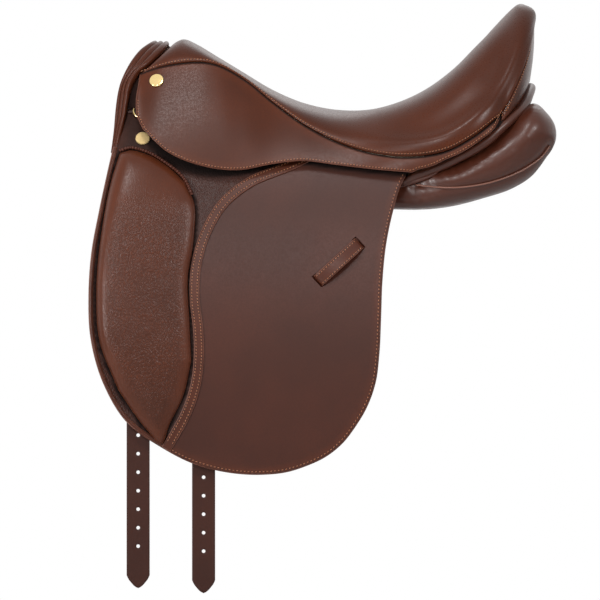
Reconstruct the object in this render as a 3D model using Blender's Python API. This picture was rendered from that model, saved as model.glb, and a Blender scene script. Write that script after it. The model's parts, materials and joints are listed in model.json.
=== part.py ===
"""Dressage saddle: tree, seat, panels, skirts, flaps with knee blocks, billets and their fittings.

Frame: +X runs to the cantle, the near side is -Y, +Z is up. The origin lies over the horse's
spine, under the middle of the seat. Lengths are metres, and the pattern tables are millimetres.
"""

import bisect
import math

import bmesh
import bpy
from mathutils import Matrix, Vector

MM = 0.001
SIDES = (("near", -1.0), ("off", 1.0))

# Leather, webbing and wood, by thickness
SEAT_LEATHER = 0.0025
SKIRT_LEATHER = 0.0040
FLAP_LEATHER = 0.0045
SWEAT_LEATHER = 0.0035
BILLET_LEATHER = 0.0040
STRIP_LEATHER = 0.0016
CANTLE_LEATHER = 0.0030
WEB_THICKNESS = 0.0020
TREE_THICKNESS = 0.0090
PLATE_THICKNESS = 0.0020
SPRING_THICKNESS = 0.0015

# Clearances
SEAT_GAP = 0.0003
SPLIT_GAP = 0.0006
FLAP_TO_WEB = 0.0006
BILLET_TO_WEB = 0.0005
BILLET_TO_SWEAT = 0.0045
SWEAT_TO_PANEL = 0.0008
TREE_TO_WEB = 0.0005

# Depth of each layer behind the flap's outer face
WEB_DEPTH = FLAP_LEATHER + FLAP_TO_WEB
BILLET_DEPTH = WEB_DEPTH + WEB_THICKNESS + BILLET_TO_WEB
SWEAT_DEPTH = BILLET_DEPTH + BILLET_LEATHER + BILLET_TO_SWEAT
PANEL_DEPTH = SWEAT_DEPTH + SWEAT_LEATHER + SWEAT_TO_PANEL

# How the sides hang: half width of the flaps at the top, and how they flare below it
FLAP_TOP_HALF_WIDTH = 0.104
FLAP_SPLAY = 0.156
FLARE = 0.075
FLARE_DEPTH = 0.150
WIDEST_FORWARD = -0.300
SKIRT_STANDOFF_FRONT = 0.020
SKIRT_STANDOFF_REAR = 0.013
SKIRT_HEM_LEVEL = -0.020
SKIRT_HINGE_OUT = 0.0035

# Knee block, keeper and strips on the flap
KNEE_BLOCK_RISE = 0.024
KNEE_BLOCK_EDGE = 0.0035
STRIP_WIDTH = 0.012
RIM_WIDTH = 0.0050
RIM_RISE = 0.0026
RIM_EDGE = 0.0008
RIM_SHIFT = 0.60
FLAP_GRID = 12
KEEPER_LENGTH = 0.067
KEEPER_WIDTH = 0.0157
KEEPER_LEATHER = 0.0018
KEEPER_RISE = 0.0070
KEEPER_SLOPE = math.radians(42.5)
KEEPER_CENTRE = (-0.0015, -0.1214)

# Billets and their webs
BILLET_WIDTH = 0.0275
BILLET_POINT = 0.0155
HOLE_DIAMETER = 0.0042
HOLE_PITCH = 0.0220
HOLE_COUNT = 8
LOWEST_HOLE_UP = 0.0500
BILLET_TOP = -0.0060
BILLET_PIVOT = -0.0120
BILLET_STRAIGHT_BELOW = -0.330
FRONT_BILLET_X = -0.2402
REAR_BILLET_X = -0.1623
FRONT_BILLET_TIP = -0.5095
REAR_BILLET_TIP = -0.5155
GIRTH_WEB_WIDTH = 0.0320

# Fittings
NAIL_DIAMETER = 0.0172
NAIL_RISE = 0.0026
UPPER_NAIL = (-0.2182, 0.0941)
LOWER_NAIL = (-0.2347, 0.0252)
DEE_WIDTH = 0.0230
DEE_WIRE = 0.0024
DEE_CENTRE = (-0.2352, 0.0565)
CHAPE_LEATHER = 0.0016
CHAPE_HEIGHT = 0.0100
CHAPE_LENGTH = 0.0240
TAB_LENGTH = 0.0105
TAB_HEIGHT = 0.0055
BAR_FRONT = -0.183
BAR_LENGTH = 0.076
BAR_LUG = 0.012
BAR_HEIGHT = 0.010
BAR_THICKNESS = 0.0042
BAR_BOTTOM = 0.0345
BAR_STANDOFF = 0.0044
BAR_SLOT = 0.003
BAR_PLATE_HEIGHT = 0.010
BAR_PLATE_THICKNESS = 0.003
PIN_DIAMETER = 0.0030
PIN_CLEARANCE = 0.0003
PIN_INSET = 0.0060
PIN_HEAD = 0.0008
PIN_LENGTH = 0.0070
CATCH_LENGTH = 0.014
CATCH_HEIGHT = 0.008
CATCH_THICKNESS = 0.0025
CATCH_TO_BAR = 0.0006
CHAPE_PLAY = 0.0004
DEE_OPENING = math.radians(60)
TAB_PLACE = (-0.2525, 0.0560)
HOLE_SEGMENTS = 8
NAIL_SEGMENTS = 14
WELT_DIAMETER = 0.0088
PIPING_DIAMETER = 0.0030

# The tables are drawn for flaps this far from the middle, and their half widths move out with them
PATTERN_HALF_WIDTH = 104
PATTERN_FULL_MOVE = 60

# Seat: centre x, centre z, seam x, seam half width, seam z, rise of the rim between the two
SEAT_SECTIONS = (
    (-200, 137, -238, 66, 104, 0),
    (-193, 141.5, -218, 69, 111, 0),
    (-184.5, 143.6, -195, 70, 115.5, 0),
    (-169, 137, -169, 71, 117.7, 0),
    (-145, 122.5, -146, 72, 114, 0),
    (-116, 105, -116, 75, 98.2, 0),
    (-80, 83.5, -80, 83, 69.5, 0),
    (-40, 67, -40, 102, 41, 0),
    (0, 59.5, 0, 120, 21, 0),
    (38, 60.5, 40, 135, 8.7, 2),
    (75, 71, 82, 147, 4.4, 5),
    (108, 88, 125, 154, 10.7, 8),
    (140, 113, 160, 152, 29, 9),
    (166, 139, 182, 142, 45.9, 7),
    (186, 161, 193, 131, 55.5, 4),
    (203, 178.5, 203, 124, 72, 1),
    (214, 185.8, 217, 106, 103, 0),
    (223, 182.5, 226, 80, 133, 0),
    (229, 173, 230, 42, 158, 0),
    (231, 167, 231, 0, 167, 0),
)
CORNER_SECTION = 14
SEAT_FULLNESS = 0.62
SEAT_EDGE_SLOPE = 0.45
SEAT_ROWS = 20
CANTLE_ROWS = 8
SEAT_COLUMNS = 14
FOAM_INSET = 0.0032
FOAM_DROP = 0.0028
FOAM_BASE_INSET = 0.80
SEAM_DROP = 0.0012

# Tree: the same values for the top of its shell; a half width of 0 puts the edge behind the webs
TREE_SECTIONS = (
    (-192, 117, -216, 0, 71, 0),
    (-178, 123, -202, 0, 62, 0),
    (-158, 112, -170, 0, 55, 0),
    (-128, 93, -130, 0, 50, 0),
    (-85, 66, -85, 0, 44, 0),
    (-45, 48, -45, 0, 32, 0),
    (0, 37, 0, 0, 15, 0),
    (40, 37, 42, 0, 3, 0),
    (80, 48, 84, 120, 0, 0),
    (115, 69, 126, 130, 6, 0),
    (145, 95, 158, 130, 23, 0),
    (170, 122, 180, 122, 42, 0),
    (190, 146, 193, 108, 66, 0),
    (207, 163, 205, 76, 118, 0),
)
TREE_FULLNESS = 0.62
TREE_ROWS = 20
TREE_OPEN_ROWS = (7, 16)
TREE_OPEN_COLUMNS = (4, 10)

# Panel sections: x, centre half width, centre z, half length, half depth, tilt in degrees
PANEL_SECTIONS = (
    (-252, 68, 8, 44, 7, 62),
    (-235, 68, 6, 55, 10, 62),
    (-180, 72, 2, 61, 13, 58),
    (-110, 77, -4, 60, 17, 48),
    (-30, 84, -15, 49, 23, 34),
    (50, 85, -27, 49, 27, 22),
    (120, 84, -29, 54, 27, 7),
    (172, 83, -8, 56, 35, 7),
    (205, 81, 13, 54, 38, 4),
    (228, 79, 29, 49, 38, 3),
    (244, 77, 30, 40, 27, 2),
    (252, 76, 30, 26, 15, 0),
    (255, 76, 30, 8, 5, 0),
)
PANEL_FREE_FROM = 100
PANEL_FREE_RATE = 0.60
PANEL_ROUNDNESS_FRONT = 0.85
PANEL_ROUNDNESS_REAR = 0.55
PANEL_SIDES = 16
PANEL_ROWS = 22
PIPING_STANDOFF = 0.0012

# Patterns of the side pieces, as x and z of the finished, hanging shape
FLAP_SPLIT_FRONT = (-270, 17)
FLAP_SPLIT_REAR = (81, -13)
FLAP_FRONT = ((-270, 16), (-276, -10), (-287, -61), (-296, -110), (-299.4, -160), (-297, -212),
              (-281, -268), (-254.3, -311.8))
FLAP_BOTTOM = ((-254.3, -311.8), (-213, -342), (-176, -361), (-134, -372), (-92.8, -374.7),
               (-52, -369), (-18, -354.1), (10, -330), (32.5, -293.6))
FLAP_REAR = ((81, -14), (71.4, -33), (64, -58), (55.5, -97.3), (50.5, -146), (49, -188),
             (46.5, -235), (32.5, -293.6))
BLOCK_TOP = ((-262, 8), (-250, 11.5), (-236, 9), (-206, -7), (-184, -27))
BLOCK_FRONT = ((-262, 8), (-269.5, -15), (-283, -80), (-290, -160), (-287, -212), (-264, -274))
BLOCK_REAR = ((-184, -27), (-174, -50), (-174, -93), (-181, -140), (-179, -195), (-177, -240))
BLOCK_BOTTOM = ((-264, -274), (-231, -320), (-212.5, -338), (-203, -315), (-187, -282), (-177, -240))
STRIP_LINE = ((-74, -12), (-105, -25), (-140, -53), (-159, -85), (-171, -125), (-173, -165),
              (-169, -200), (-168, -233), (-172, -268), (-183, -301), (-200.5, -333))
FLAP_TOP_FRONT = -262
FLAP_TOP_UPPER = ((-253, 66), (-222, 64), (-205, 42), (-186, 27), (-90, 25), (-40, 12), (20, 0),
                  (81, -8))
SWEAT_TOP = ((-250, 56.5), (-218, 60.5), (-202, 55.5), (-170, 48.5), (-130, 43.5), (-85, 37.5),
             (-45, 25.5), (0, 8.5), (40, -3.5), (64, -9.5))
FRONT_WEB_LINE = ((-207, 63), (-224, 24), (-240.2, -14))
REAR_WEB_LINE = ((-150, 50), (-156, 18), (-162.3, -14))
SKIRT_SPLIT_FRONT = (-243, 74)
SKIRT_SPLIT_REAR = (92.8, -10.4)
SKIRT_FRONT = ((-243, 73), (-242.4, 55), (-234.8, 36.7))
SKIRT_HEM = ((-234.8, 36.7), (-206, 10), (-163, -7.4), (-120, -12.1), (-83, -5.4), (-46.4, -1.2),
             (-2, -6.2), (40, -11.1), (86, -15))
SKIRT_STRIP = ((92.8, -11.4), (106, -8.5), (125, 0), (146.4, 9.8), (167.4, 23.6), (184.5, 38.4),
               (189, 49))
POMMEL_OUTER = ((-269.5, 88, 18), (-268, 80, 33), (-266.6, 73, 52), (-264, 66, 71), (-259, 58, 90),
                (-251, 48, 109.5), (-239, 33, 126.5), (-228, 16, 134.5), (-223.5, 0, 136.5))
POMMEL_INNER = ((-264, 92, 20), (-259.5, 86, 36), (-255, 79, 53.5), (-252, 73.5, 71), (-248, 68.5, 89),
                (-240, 63.8, 102.5), (-226, 56.5, 114), (-213, 42, 126), (-205.5, 20, 133.5),
                (-203.5, 0, 135.5))
POMMEL_ROWS = 30
POMMEL_ROLLS = 3
POMMEL_RIDGE = 0.0030
POMMEL_LEATHER = 0.0030
POMMEL_FULL_WIDTH = 0.018
CANTLE_BULGE = 0.002
SKIRT_ROWS = 4
CANTLE_HEM = ((193, 133, 47.6), (201, 126, 55), (211, 108, 67), (220, 81, 81), (224.5, 43, 90),
              (226, 0, 94))
WELT_LINE = ((74, 123, -27), (84, 126, -22.5), (103, 129, -13.6), (125, 135, -2), (146, 138, 9.8),
             (167, 138, 22.6), (189, 132, 38.5), (200, 125, 48), (210, 112, 57.5),
             (220.6, 88, 69.5), (226.9, 48, 82), (229, 0, 86))
PIPING_LINE = ((90, -30), (125, -32.7), (156.8, -30.6), (188.7, -23.2), (220.6, -9.5), (240, 5),
               (249, 17))

COLOURS = {
    "seat leather": ((0.118, 0.056, 0.044), 0.42, 0.0),
    "flap leather": ((0.106, 0.050, 0.038), 0.50, 0.0),
    "grained leather": ((0.120, 0.062, 0.048), 0.55, 0.0),
    "panel leather": ((0.110, 0.052, 0.042), 0.38, 0.0),
    "bridle leather": ((0.050, 0.022, 0.017), 0.55, 0.0),
    "webbing": ((0.55, 0.50, 0.40), 0.90, 0.0),
    "foam": ((0.75, 0.70, 0.55), 0.95, 0.0),
    "beech": ((0.52, 0.36, 0.20), 0.60, 0.0),
    "steel": ((0.55, 0.55, 0.56), 0.35, 1.0),
    "brass": ((0.83, 0.62, 0.28), 0.25, 1.0),
}


class Curve:
    """A smooth curve through a few points, read by its share from 0 to 1."""

    def __init__(self, points):
        self.points = [Vector(p) for p in points]
        self.knots = [0.0]
        for a, b in zip(self.points, self.points[1:]):
            self.knots.append(self.knots[-1] + (b - a).length)
        self.tangents = [self._tangent(i) for i in range(len(self.points))]

    def _tangent(self, i):
        last = len(self.points) - 1
        if i in (0, last):
            j = min(i, last - 1)
            return (self.points[j + 1] - self.points[j]) / (self.knots[j + 1] - self.knots[j])
        before = self.knots[i] - self.knots[i - 1]
        after = self.knots[i + 1] - self.knots[i]
        fall = (self.points[i] - self.points[i - 1]) / before
        rise = (self.points[i + 1] - self.points[i]) / after
        return (fall * after + rise * before) / (before + after)

    def share_of(self, index):
        return self.knots[index] / self.knots[-1]

    def at(self, share):
        place = min(max(share, 0.0), 1.0) * self.knots[-1]
        i = min(max(bisect.bisect_right(self.knots, place) - 1, 0), len(self.points) - 2)
        step = self.knots[i + 1] - self.knots[i]
        t = (place - self.knots[i]) / step
        a, b = self.points[i], self.points[i + 1]
        return (a * (2 * t**3 - 3 * t**2 + 1) + b * (3 * t**2 - 2 * t**3)
                + (self.tangents[i] * (t**3 - 2 * t**2 + t) + self.tangents[i + 1] * (t**3 - t**2)) * step)


def shares(count, start=0.0, end=1.0):
    return [start + (end - start) * i / count for i in range(count + 1)]


def patch(top, bottom, front, rear, columns, rows):
    """Grid of points inside four edge curves; top and bottom run front to rear, the others down."""
    top, bottom, front, rear = (Curve(edge) for edge in (top, bottom, front, rear))
    grid = []
    for v in shares(rows):
        row = []
        for u in shares(columns):
            across = front.at(v) * (1 - u) + rear.at(v) * u
            down = top.at(u) * (1 - v) + bottom.at(u) * v
            corners = (top.at(0) * (1 - u) + top.at(1) * u) * (1 - v)
            corners += (bottom.at(0) * (1 - u) + bottom.at(1) * u) * v
            row.append((across + down - corners) * MM)
        grid.append(row)
    return grid


def flap_half(x, z):
    """Half width of the saddle at the outer face of the flap."""
    top = FLAP_TOP_HALF_WIDTH + FLAP_SPLAY * (x - WIDEST_FORWARD) ** 2
    return top + FLARE * (1 - math.exp(z / FLARE_DEPTH))


def widened(half):
    """A half width of the tables, moved out with the flaps; the middle of the saddle stays."""
    return half + (FLAP_TOP_HALF_WIDTH / MM - PATTERN_HALF_WIDTH) * min(half / PATTERN_FULL_MOVE, 1.0)


def seat_section(section):
    return (*section[:3], widened(section[3]), *section[4:])


def tree_section(section):
    """The section with its edge set just behind the girth webs, where the table leaves it open."""
    centre_x, centre_z, edge_x, edge_half, edge_z, rim = seat_section(section)
    if edge_half == 0:
        edge_half = (flap_half(edge_x * MM, edge_z * MM) - WEB_DEPTH - WEB_THICKNESS - TREE_TO_WEB) / MM
    return (centre_x, centre_z, edge_x, edge_half, edge_z, rim)


SEAT = Curve([seat_section(section) for section in SEAT_SECTIONS])
TREE = Curve([tree_section(section) for section in TREE_SECTIONS])
CORNER_SHARE = SEAT.share_of(CORNER_SECTION)
SEAM_SAMPLES = [SEAT.at(s) * MM for s in shares(160, 0.0, CORNER_SHARE)]


def seam_at(x):
    """Half width and height of the seam between seat and skirt at one x."""
    for a, b in zip(SEAM_SAMPLES, SEAM_SAMPLES[1:]):
        if x <= b[2]:
            t = max((x - a[2]) / (b[2] - a[2]), 0.0)
            return a[3] + (b[3] - a[3]) * t, a[4] + (b[4] - a[4]) * t
    return SEAM_SAMPLES[-1][3], SEAM_SAMPLES[-1][4]


def skirt_standoff(x):
    front, rear = SKIRT_SPLIT_FRONT[0] * MM, SKIRT_SPLIT_REAR[0] * MM
    t = min(max((x - front) / (rear - front), 0.0), 1.0)
    return SKIRT_STANDOFF_FRONT + (SKIRT_STANDOFF_REAR - SKIRT_STANDOFF_FRONT) * t


def skirt_half(x, z):
    """Half width at the outer face of the skirt: straight from the seat seam to its hem."""
    seam_half, seam_z = seam_at(x)
    hem_half = flap_half(x, SKIRT_HEM_LEVEL) + skirt_standoff(x)
    return seam_half + (hem_half - seam_half) * (seam_z - z) / (seam_z - SKIRT_HEM_LEVEL)


def line_z(start, end, x):
    return start[1] + (end[1] - start[1]) * (x - start[0]) / (end[0] - start[0])


def new_object(name, data, finish, pivot):
    obj = bpy.data.objects.new(name, data)
    obj.location = pivot
    colour, roughness, metallic = COLOURS[finish]
    material = bpy.data.materials.new(name + " " + finish)
    material.use_nodes = True
    shader = material.node_tree.nodes["Principled BSDF"]
    shader.inputs["Base Color"].default_value = (*colour, 1.0)
    shader.inputs["Roughness"].default_value = roughness
    shader.inputs["Metallic"].default_value = metallic
    data.materials.append(material)
    bpy.context.scene.collection.objects.link(obj)
    return obj


def finish_mesh(name, bm, finish, pivot=(0, 0, 0), sharp=40):
    """Close the mesh, point its faces out and put it in the scene with its origin at the pivot."""
    bmesh.ops.remove_doubles(bm, verts=bm.verts, dist=1e-6)
    bmesh.ops.recalc_face_normals(bm, faces=bm.faces)
    bmesh.ops.translate(bm, verts=bm.verts, vec=-Vector(pivot))
    mesh = bpy.data.meshes.new(name)
    bm.to_mesh(mesh)
    bm.free()
    mesh.shade_smooth()
    mesh.set_sharp_from_angle(angle=math.radians(sharp))
    return new_object(name, mesh, finish, pivot)


def skin(name, outer, inner, finish, pivot=(0, 0, 0), is_open=None):
    """A closed solid between two grids of points, with walls round its border and its openings."""
    bm = bmesh.new()
    layers = [[[bm.verts.new(p) for p in row] for row in grid] for grid in (outer, inner)]
    cells = {(i, j) for i in range(len(outer) - 1) for j in range(len(outer[0]) - 1)}
    if is_open:
        cells = {cell for cell in cells if not is_open(*cell)}
    for i, j in cells:
        for grid in layers:
            bm.faces.new((grid[i][j], grid[i][j + 1], grid[i + 1][j + 1], grid[i + 1][j]))
        borders = (((i - 1, j), (i, j), (i, j + 1)), ((i + 1, j), (i + 1, j), (i + 1, j + 1)),
                   ((i, j - 1), (i, j), (i + 1, j)), ((i, j + 1), (i, j + 1), (i + 1, j + 1)))
        for neighbour, a, b in borders:
            if neighbour not in cells:
                bm.faces.new((layers[0][a[0]][a[1]], layers[0][b[0]][b[1]],
                              layers[1][b[0]][b[1]], layers[1][a[0]][a[1]]))
    bmesh.ops.delete(bm, geom=[v for v in bm.verts if not v.link_faces], context="VERTS")
    return finish_mesh(name, bm, finish, pivot)


def hang(grid, sign, surface, offset):
    """Lift a flat pattern onto the saddle's side, an offset outside the given surface."""
    lifted = []
    for i, row in enumerate(grid):
        line = []
        for j, (x, z) in enumerate(row):
            out = offset(i / (len(grid) - 1), j / (len(row) - 1)) if callable(offset) else offset
            line.append(Vector((x, sign * (surface(x, z) + out), z)))
        lifted.append(line)
    return lifted


def side_sheet(name, sign, grid, surface, outer, inner, finish, pivot=(0, 0, 0)):
    """A piece of leather on the saddle's side, between two offsets from a surface."""
    return skin(name, hang(grid, sign, surface, outer), hang(grid, sign, surface, inner), finish, pivot)


def strap_grid(line, width, count, across=1, shift=0.0):
    """Flat pattern of a strap of even width along a line of x and z, shifted sideways by its width."""
    curve = Curve(line)
    grid = []
    for s in shares(count):
        ahead = curve.at(min(s + 0.01, 1.0)) - curve.at(max(s - 0.01, 0.0))
        side = Vector((-ahead[1], ahead[0])).normalized() * width
        grid.append([curve.at(s) * MM + side * (t - 0.5 + shift) for t in shares(across)])
    return grid


def tube(name, points, diameter, finish, pivot=(0, 0, 0), cyclic=False, sides=8):
    """A round cord through the points, closed on itself or with flat ends."""
    points = [Vector(p) for p in points]
    count = len(points)
    bm = bmesh.new()
    rings = []
    side = None
    for i, point in enumerate(points):
        before = points[i - 1] if i or cyclic else point
        after = points[(i + 1) % count] if i + 1 < count or cyclic else point
        along = (after - before).normalized()
        side = along.orthogonal() if side is None else side - along * side.dot(along)
        side.normalize()
        up = along.cross(side)
        angles = [math.tau * k / sides for k in range(sides)]
        rings.append([bm.verts.new(point + (side * math.cos(a) + up * math.sin(a)) * diameter / 2)
                      for a in angles])
    pairs = list(zip(rings, rings[1:] + rings[:1])) if cyclic else list(zip(rings, rings[1:]))
    for a, b in pairs:
        for k in range(sides):
            bm.faces.new((a[k], a[(k + 1) % sides], b[(k + 1) % sides], b[k]))
    if not cyclic:
        bm.faces.new(rings[0])
        bm.faces.new(rings[-1])
    return finish_mesh(name, bm, finish, pivot, sharp=60)


def extruded(name, outline, place, height, finish, pivot=(0, 0, 0)):
    """A flat outline pushed through a height; place turns its x, y and height into the world."""
    bm = bmesh.new()
    base = bm.faces.new([bm.verts.new((x, y, 0.0)) for x, y in outline])
    pushed = bmesh.ops.extrude_face_region(bm, geom=[base])["geom"]
    verts = [v for v in pushed if isinstance(v, bmesh.types.BMVert)]
    bmesh.ops.translate(bm, verts=verts, vec=(0, 0, height))
    bmesh.ops.transform(bm, matrix=place, verts=bm.verts)
    return finish_mesh(name, bm, finish, pivot)


def bore(obj, centres, direction, diameter, length):
    """Cut round holes with the Boolean modifier; their cutter stays hidden."""
    bm = bmesh.new()
    turn = Vector((0, 0, 1)).rotation_difference(Vector(direction)).to_matrix().to_4x4()
    for centre in centres:
        bmesh.ops.create_cone(bm, cap_ends=True, segments=HOLE_SEGMENTS, radius1=diameter / 2,
                              radius2=diameter / 2, depth=length, matrix=Matrix.Translation(centre) @ turn)
    mesh = bpy.data.meshes.new(obj.name + " cutter")
    bm.to_mesh(mesh)
    bm.free()
    cutter = bpy.data.objects.new(mesh.name, mesh)
    cutter.hide_render = True
    cutter.display_type = "WIRE"
    bpy.context.scene.collection.objects.link(cutter)
    cut = obj.modifiers.new("bore", "BOOLEAN")
    cut.operation = "DIFFERENCE"
    cut.solver = "EXACT"
    cut.object = cutter


def section_row(section, columns, fullness, edge_slope):
    """One cross line of the seat or the tree, from the near edge over the centre to the off edge."""
    centre_x, centre_z, edge_x, edge_half, edge_z, rim = section * MM
    drop = centre_z - edge_z
    row = []
    for v in shares(columns, -1.0, 1.0):
        t = abs(v)
        a, b, c = 3 * t * (1 - t) ** 2, 3 * t * t * (1 - t), t**3
        half = a * fullness * edge_half + b * (edge_half - fullness * drop * edge_slope) + c * edge_half
        fall = 1 - (1 - t) ** 3 - a - b * fullness
        x = centre_x + (edge_x - centre_x) * fall
        z = centre_z - drop * fall + rim * math.sin(math.pi * t) ** 2
        row.append(Vector((x, math.copysign(half, v), z)))
    return row


def inward(grid, depth, skirt_rows=-1):
    """The grid moved down into the saddle by a depth, square to its own surface.

    Edges that lie along the skirt move straight across the saddle, later ones level.
    """
    rows, columns = len(grid), len(grid[0])
    normals = [[Vector() for _ in row] for row in grid]
    for i in range(rows - 1):
        for j in range(columns - 1):
            up = (grid[i + 1][j + 1] - grid[i][j]).cross(grid[i][j + 1] - grid[i + 1][j])
            for a, b in ((i, j), (i + 1, j), (i, j + 1), (i + 1, j + 1)):
                normals[a][b] += up
    for i, row in enumerate(grid):
        if (row[0] - row[-1]).length < 1e-6:
            total = sum(normals[i], Vector())
            normals[i] = [total.copy() for _ in row]
        elif skirt_rows >= 0:
            for end in (0, -1):
                normals[i][end].z = 0.0
                if i < skirt_rows:
                    normals[i][end].x = 0.0
    return [[p - n.normalized() * depth for p, n in zip(row, line)] for row, line in zip(grid, normals)]


def block(grid, rows, columns):
    return [row[columns[0]:columns[1] + 1] for row in grid[rows[0]:rows[1] + 1]]


def add_seat(cover, tree_top):
    """The leather cover from the pommel to the cantle's tip, and the foam between it and the tree."""
    skin("seat_cover", cover, inward(cover, SEAT_LEATHER, SEAT_ROWS), "seat leather")
    foam_top = inward(cover, SEAT_LEATHER + SEAT_GAP, SEAT_ROWS)[1:SEAT_ROWS]
    foam_base = inward(tree_top, -(2 * WEB_THICKNESS + 3 * SEAT_GAP))[:SEAT_ROWS - 1]
    for top, base in zip(foam_top, foam_base):
        for edge, beside in ((0, 1), (-1, -2)):
            shift = Vector((0, math.copysign(FOAM_INSET, top[edge].y), FOAM_DROP))
            top[edge] -= shift
            top[beside] -= shift / 2
            base[edge] = base[edge].lerp(base[beside], FOAM_BASE_INSET)
    skin("seat_foam", foam_top, foam_base, "foam")


def tree_sheet(name, tree_top, rows, columns, low, thickness, finish):
    """A plate, spring or web that follows the tree, from a height low over its top face."""
    over = block(inward(tree_top, -(low + thickness)), rows, columns)
    under = block(inward(tree_top, -low), rows, columns)
    skin(name, over, under, finish)


def add_tree(tree_top):
    """The wooden tree with its open middle, its steel plates and springs, and the seat's webs."""
    def is_open(i, j):
        return (TREE_OPEN_ROWS[0] <= i < TREE_OPEN_ROWS[1]
                and TREE_OPEN_COLUMNS[0] <= j < TREE_OPEN_COLUMNS[1])

    skin("tree_frame", tree_top, inward(tree_top, TREE_THICKNESS), "beech", is_open=is_open)
    last = SEAT_COLUMNS - 1
    under = -(TREE_THICKNESS + SEAT_GAP)
    tree_sheet("head_plate", tree_top, (1, 3), (1, last), SEAT_GAP, PLATE_THICKNESS, "steel")
    tree_sheet("gullet_plate", tree_top, (1, 3), (3, last - 2), under - PLATE_THICKNESS,
               PLATE_THICKNESS, "steel")
    for side, columns in (("near", (1, 2)), ("off", (last - 1, last))):
        tree_sheet(side + "_spring_steel", tree_top, (4, 17), columns, under - SPRING_THICKNESS,
                   SPRING_THICKNESS, "steel")
    middle = SEAT_COLUMNS // 2
    tree_sheet("seat_web_long", tree_top, (5, 19), (middle - 1, middle + 1), SEAT_GAP, WEB_THICKNESS,
               "webbing")
    over = WEB_THICKNESS + 2 * SEAT_GAP
    tree_sheet("front_cross_web", tree_top, (8, 10), (1, last), over, WEB_THICKNESS, "webbing")
    tree_sheet("rear_cross_web", tree_top, (12, 14), (1, last), over, WEB_THICKNESS, "webbing")


def mirrored(points):
    """The near half of a line that ends on the middle of the saddle, and its off half after it."""
    near = [Vector((x, -widened(y), z)) * MM for x, y, z in points]
    return near + [Vector((p.x, -p.y, p.z)) for p in reversed(near[:-1])]


def even(points, count):
    curve = Curve(points)
    return [curve.at(s) for s in shares(count)]


def add_pommel():
    """Three stacked rolls over the head: one band with a ridged face, from flap to flap."""
    outer = even(mirrored(POMMEL_OUTER), POMMEL_ROWS)
    inner = even(mirrored(POMMEL_INNER), POMMEL_ROWS)
    columns = POMMEL_ROLLS * 3
    face, back = [], []
    for i, (a, b) in enumerate(zip(outer, inner)):
        along = outer[min(i + 1, POMMEL_ROWS)] - outer[max(i - 1, 0)]
        out = (b - a).cross(along).normalized()
        swell = min((b - a).length / POMMEL_FULL_WIDTH, 1.0)
        ridges = [abs(math.sin(math.pi * POMMEL_ROLLS * t)) for t in shares(columns)]
        face.append([a.lerp(b, t) + out * (ridge * POMMEL_RIDGE * swell + POMMEL_LEATHER * swell)
                     for t, ridge in zip(shares(columns), ridges)])
        back.append([a.lerp(b, t) - out * POMMEL_LEATHER * swell for t in shares(columns)])
    skin("pommel_rolls", face, back, "seat leather")


def add_cantle(cover):
    """The facing on the back of the cantle, and the welt that runs round under it."""
    lining = inward(cover, CANTLE_LEATHER, SEAT_ROWS)
    edges = []
    for grid in (cover, lining):
        near = [row[0] for row in grid[SEAT_ROWS:]]
        edges.append(near + [Vector((p.x, -p.y, p.z)) for p in reversed(near[:-1])])
    hem = even(mirrored(CANTLE_HEM), 2 * CANTLE_ROWS)
    face, back = [], []
    for i, (a, inner, b) in enumerate(zip(*edges, hem)):
        along = hem[min(i + 1, 2 * CANTLE_ROWS)] - hem[max(i - 1, 0)]
        out = along.cross(a - b).normalized()
        out = out if out.x > 0 else -out
        across = (b - a) * (1 - 2 * SEAT_GAP / (b - a).length)
        line, under = [], []
        for t in shares(4):
            turned = (a - inner).normalized().lerp(out, t).normalized()
            rise = math.sin(math.pi * t) * CANTLE_BULGE * min((b - a).length / 0.05, 1.0)
            point = b - across * (1 - t) + turned * rise
            line.append(point)
            under.append(point - turned * CANTLE_LEATHER)
        face.append(line)
        back.append(under)
    skin("cantle_facing", face, back, "seat leather")
    tube("rear_welt", even(mirrored(WELT_LINE), 44), WELT_DIAMETER, "panel leather")


def on_surface(sign, surface, point, out=0.0):
    x, z = point
    return Vector((x, sign * (surface(x, z) + out), z))


def surface_normal(sign, surface, point):
    x, z = point
    step = 0.002
    along = on_surface(sign, surface, (x + step, z)) - on_surface(sign, surface, (x - step, z))
    up = on_surface(sign, surface, (x, z + step)) - on_surface(sign, surface, (x, z - step))
    normal = along.cross(up).normalized()
    return normal if normal.y * sign > 0 else -normal


def add_skirt(side, sign, seam):
    """The fixed upper part of the skirt, and the lobe that lifts along its straight split line."""
    front, rear = Vector(SKIRT_SPLIT_FRONT), Vector(SKIRT_SPLIT_REAR)
    strip = even(SKIRT_STRIP, 60)
    seam = seam[:-1] + [seam[-2].lerp(seam[-1], 0.7)]
    reach = (SKIRT_STRIP[-1][0] - front.x) / (seam[-1].x - seam[0].x)
    grid = [[] for _ in range(SKIRT_ROWS + 1)]
    for point in seam:
        top = Vector((point.x, point.z - SEAM_DROP))
        x = front.x + (point.x - seam[0].x) * reach
        low = Vector((x, line_z(front, rear, x)))
        if x > rear.x:
            low = min(strip, key=lambda p: abs(p[0] - x))
        for i, row in enumerate(grid):
            row.append(top.lerp(low * MM, i / SKIRT_ROWS))
    side_sheet(side + "_skirt_top", sign, grid, skirt_half, 0.0, -SKIRT_LEATHER, "flap leather")
    gap = Vector((0, -SPLIT_GAP / MM))
    lobe = patch((front + gap, rear + gap), SKIRT_HEM, SKIRT_FRONT, (rear + gap, SKIRT_HEM[-1]), 18, 4)
    pivot = on_surface(sign, skirt_half, front * MM, SKIRT_HINGE_OUT)
    side_sheet(side + "_skirt", sign, lobe, skirt_half, 0.0, -SKIRT_LEATHER, "flap leather", pivot)


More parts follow.
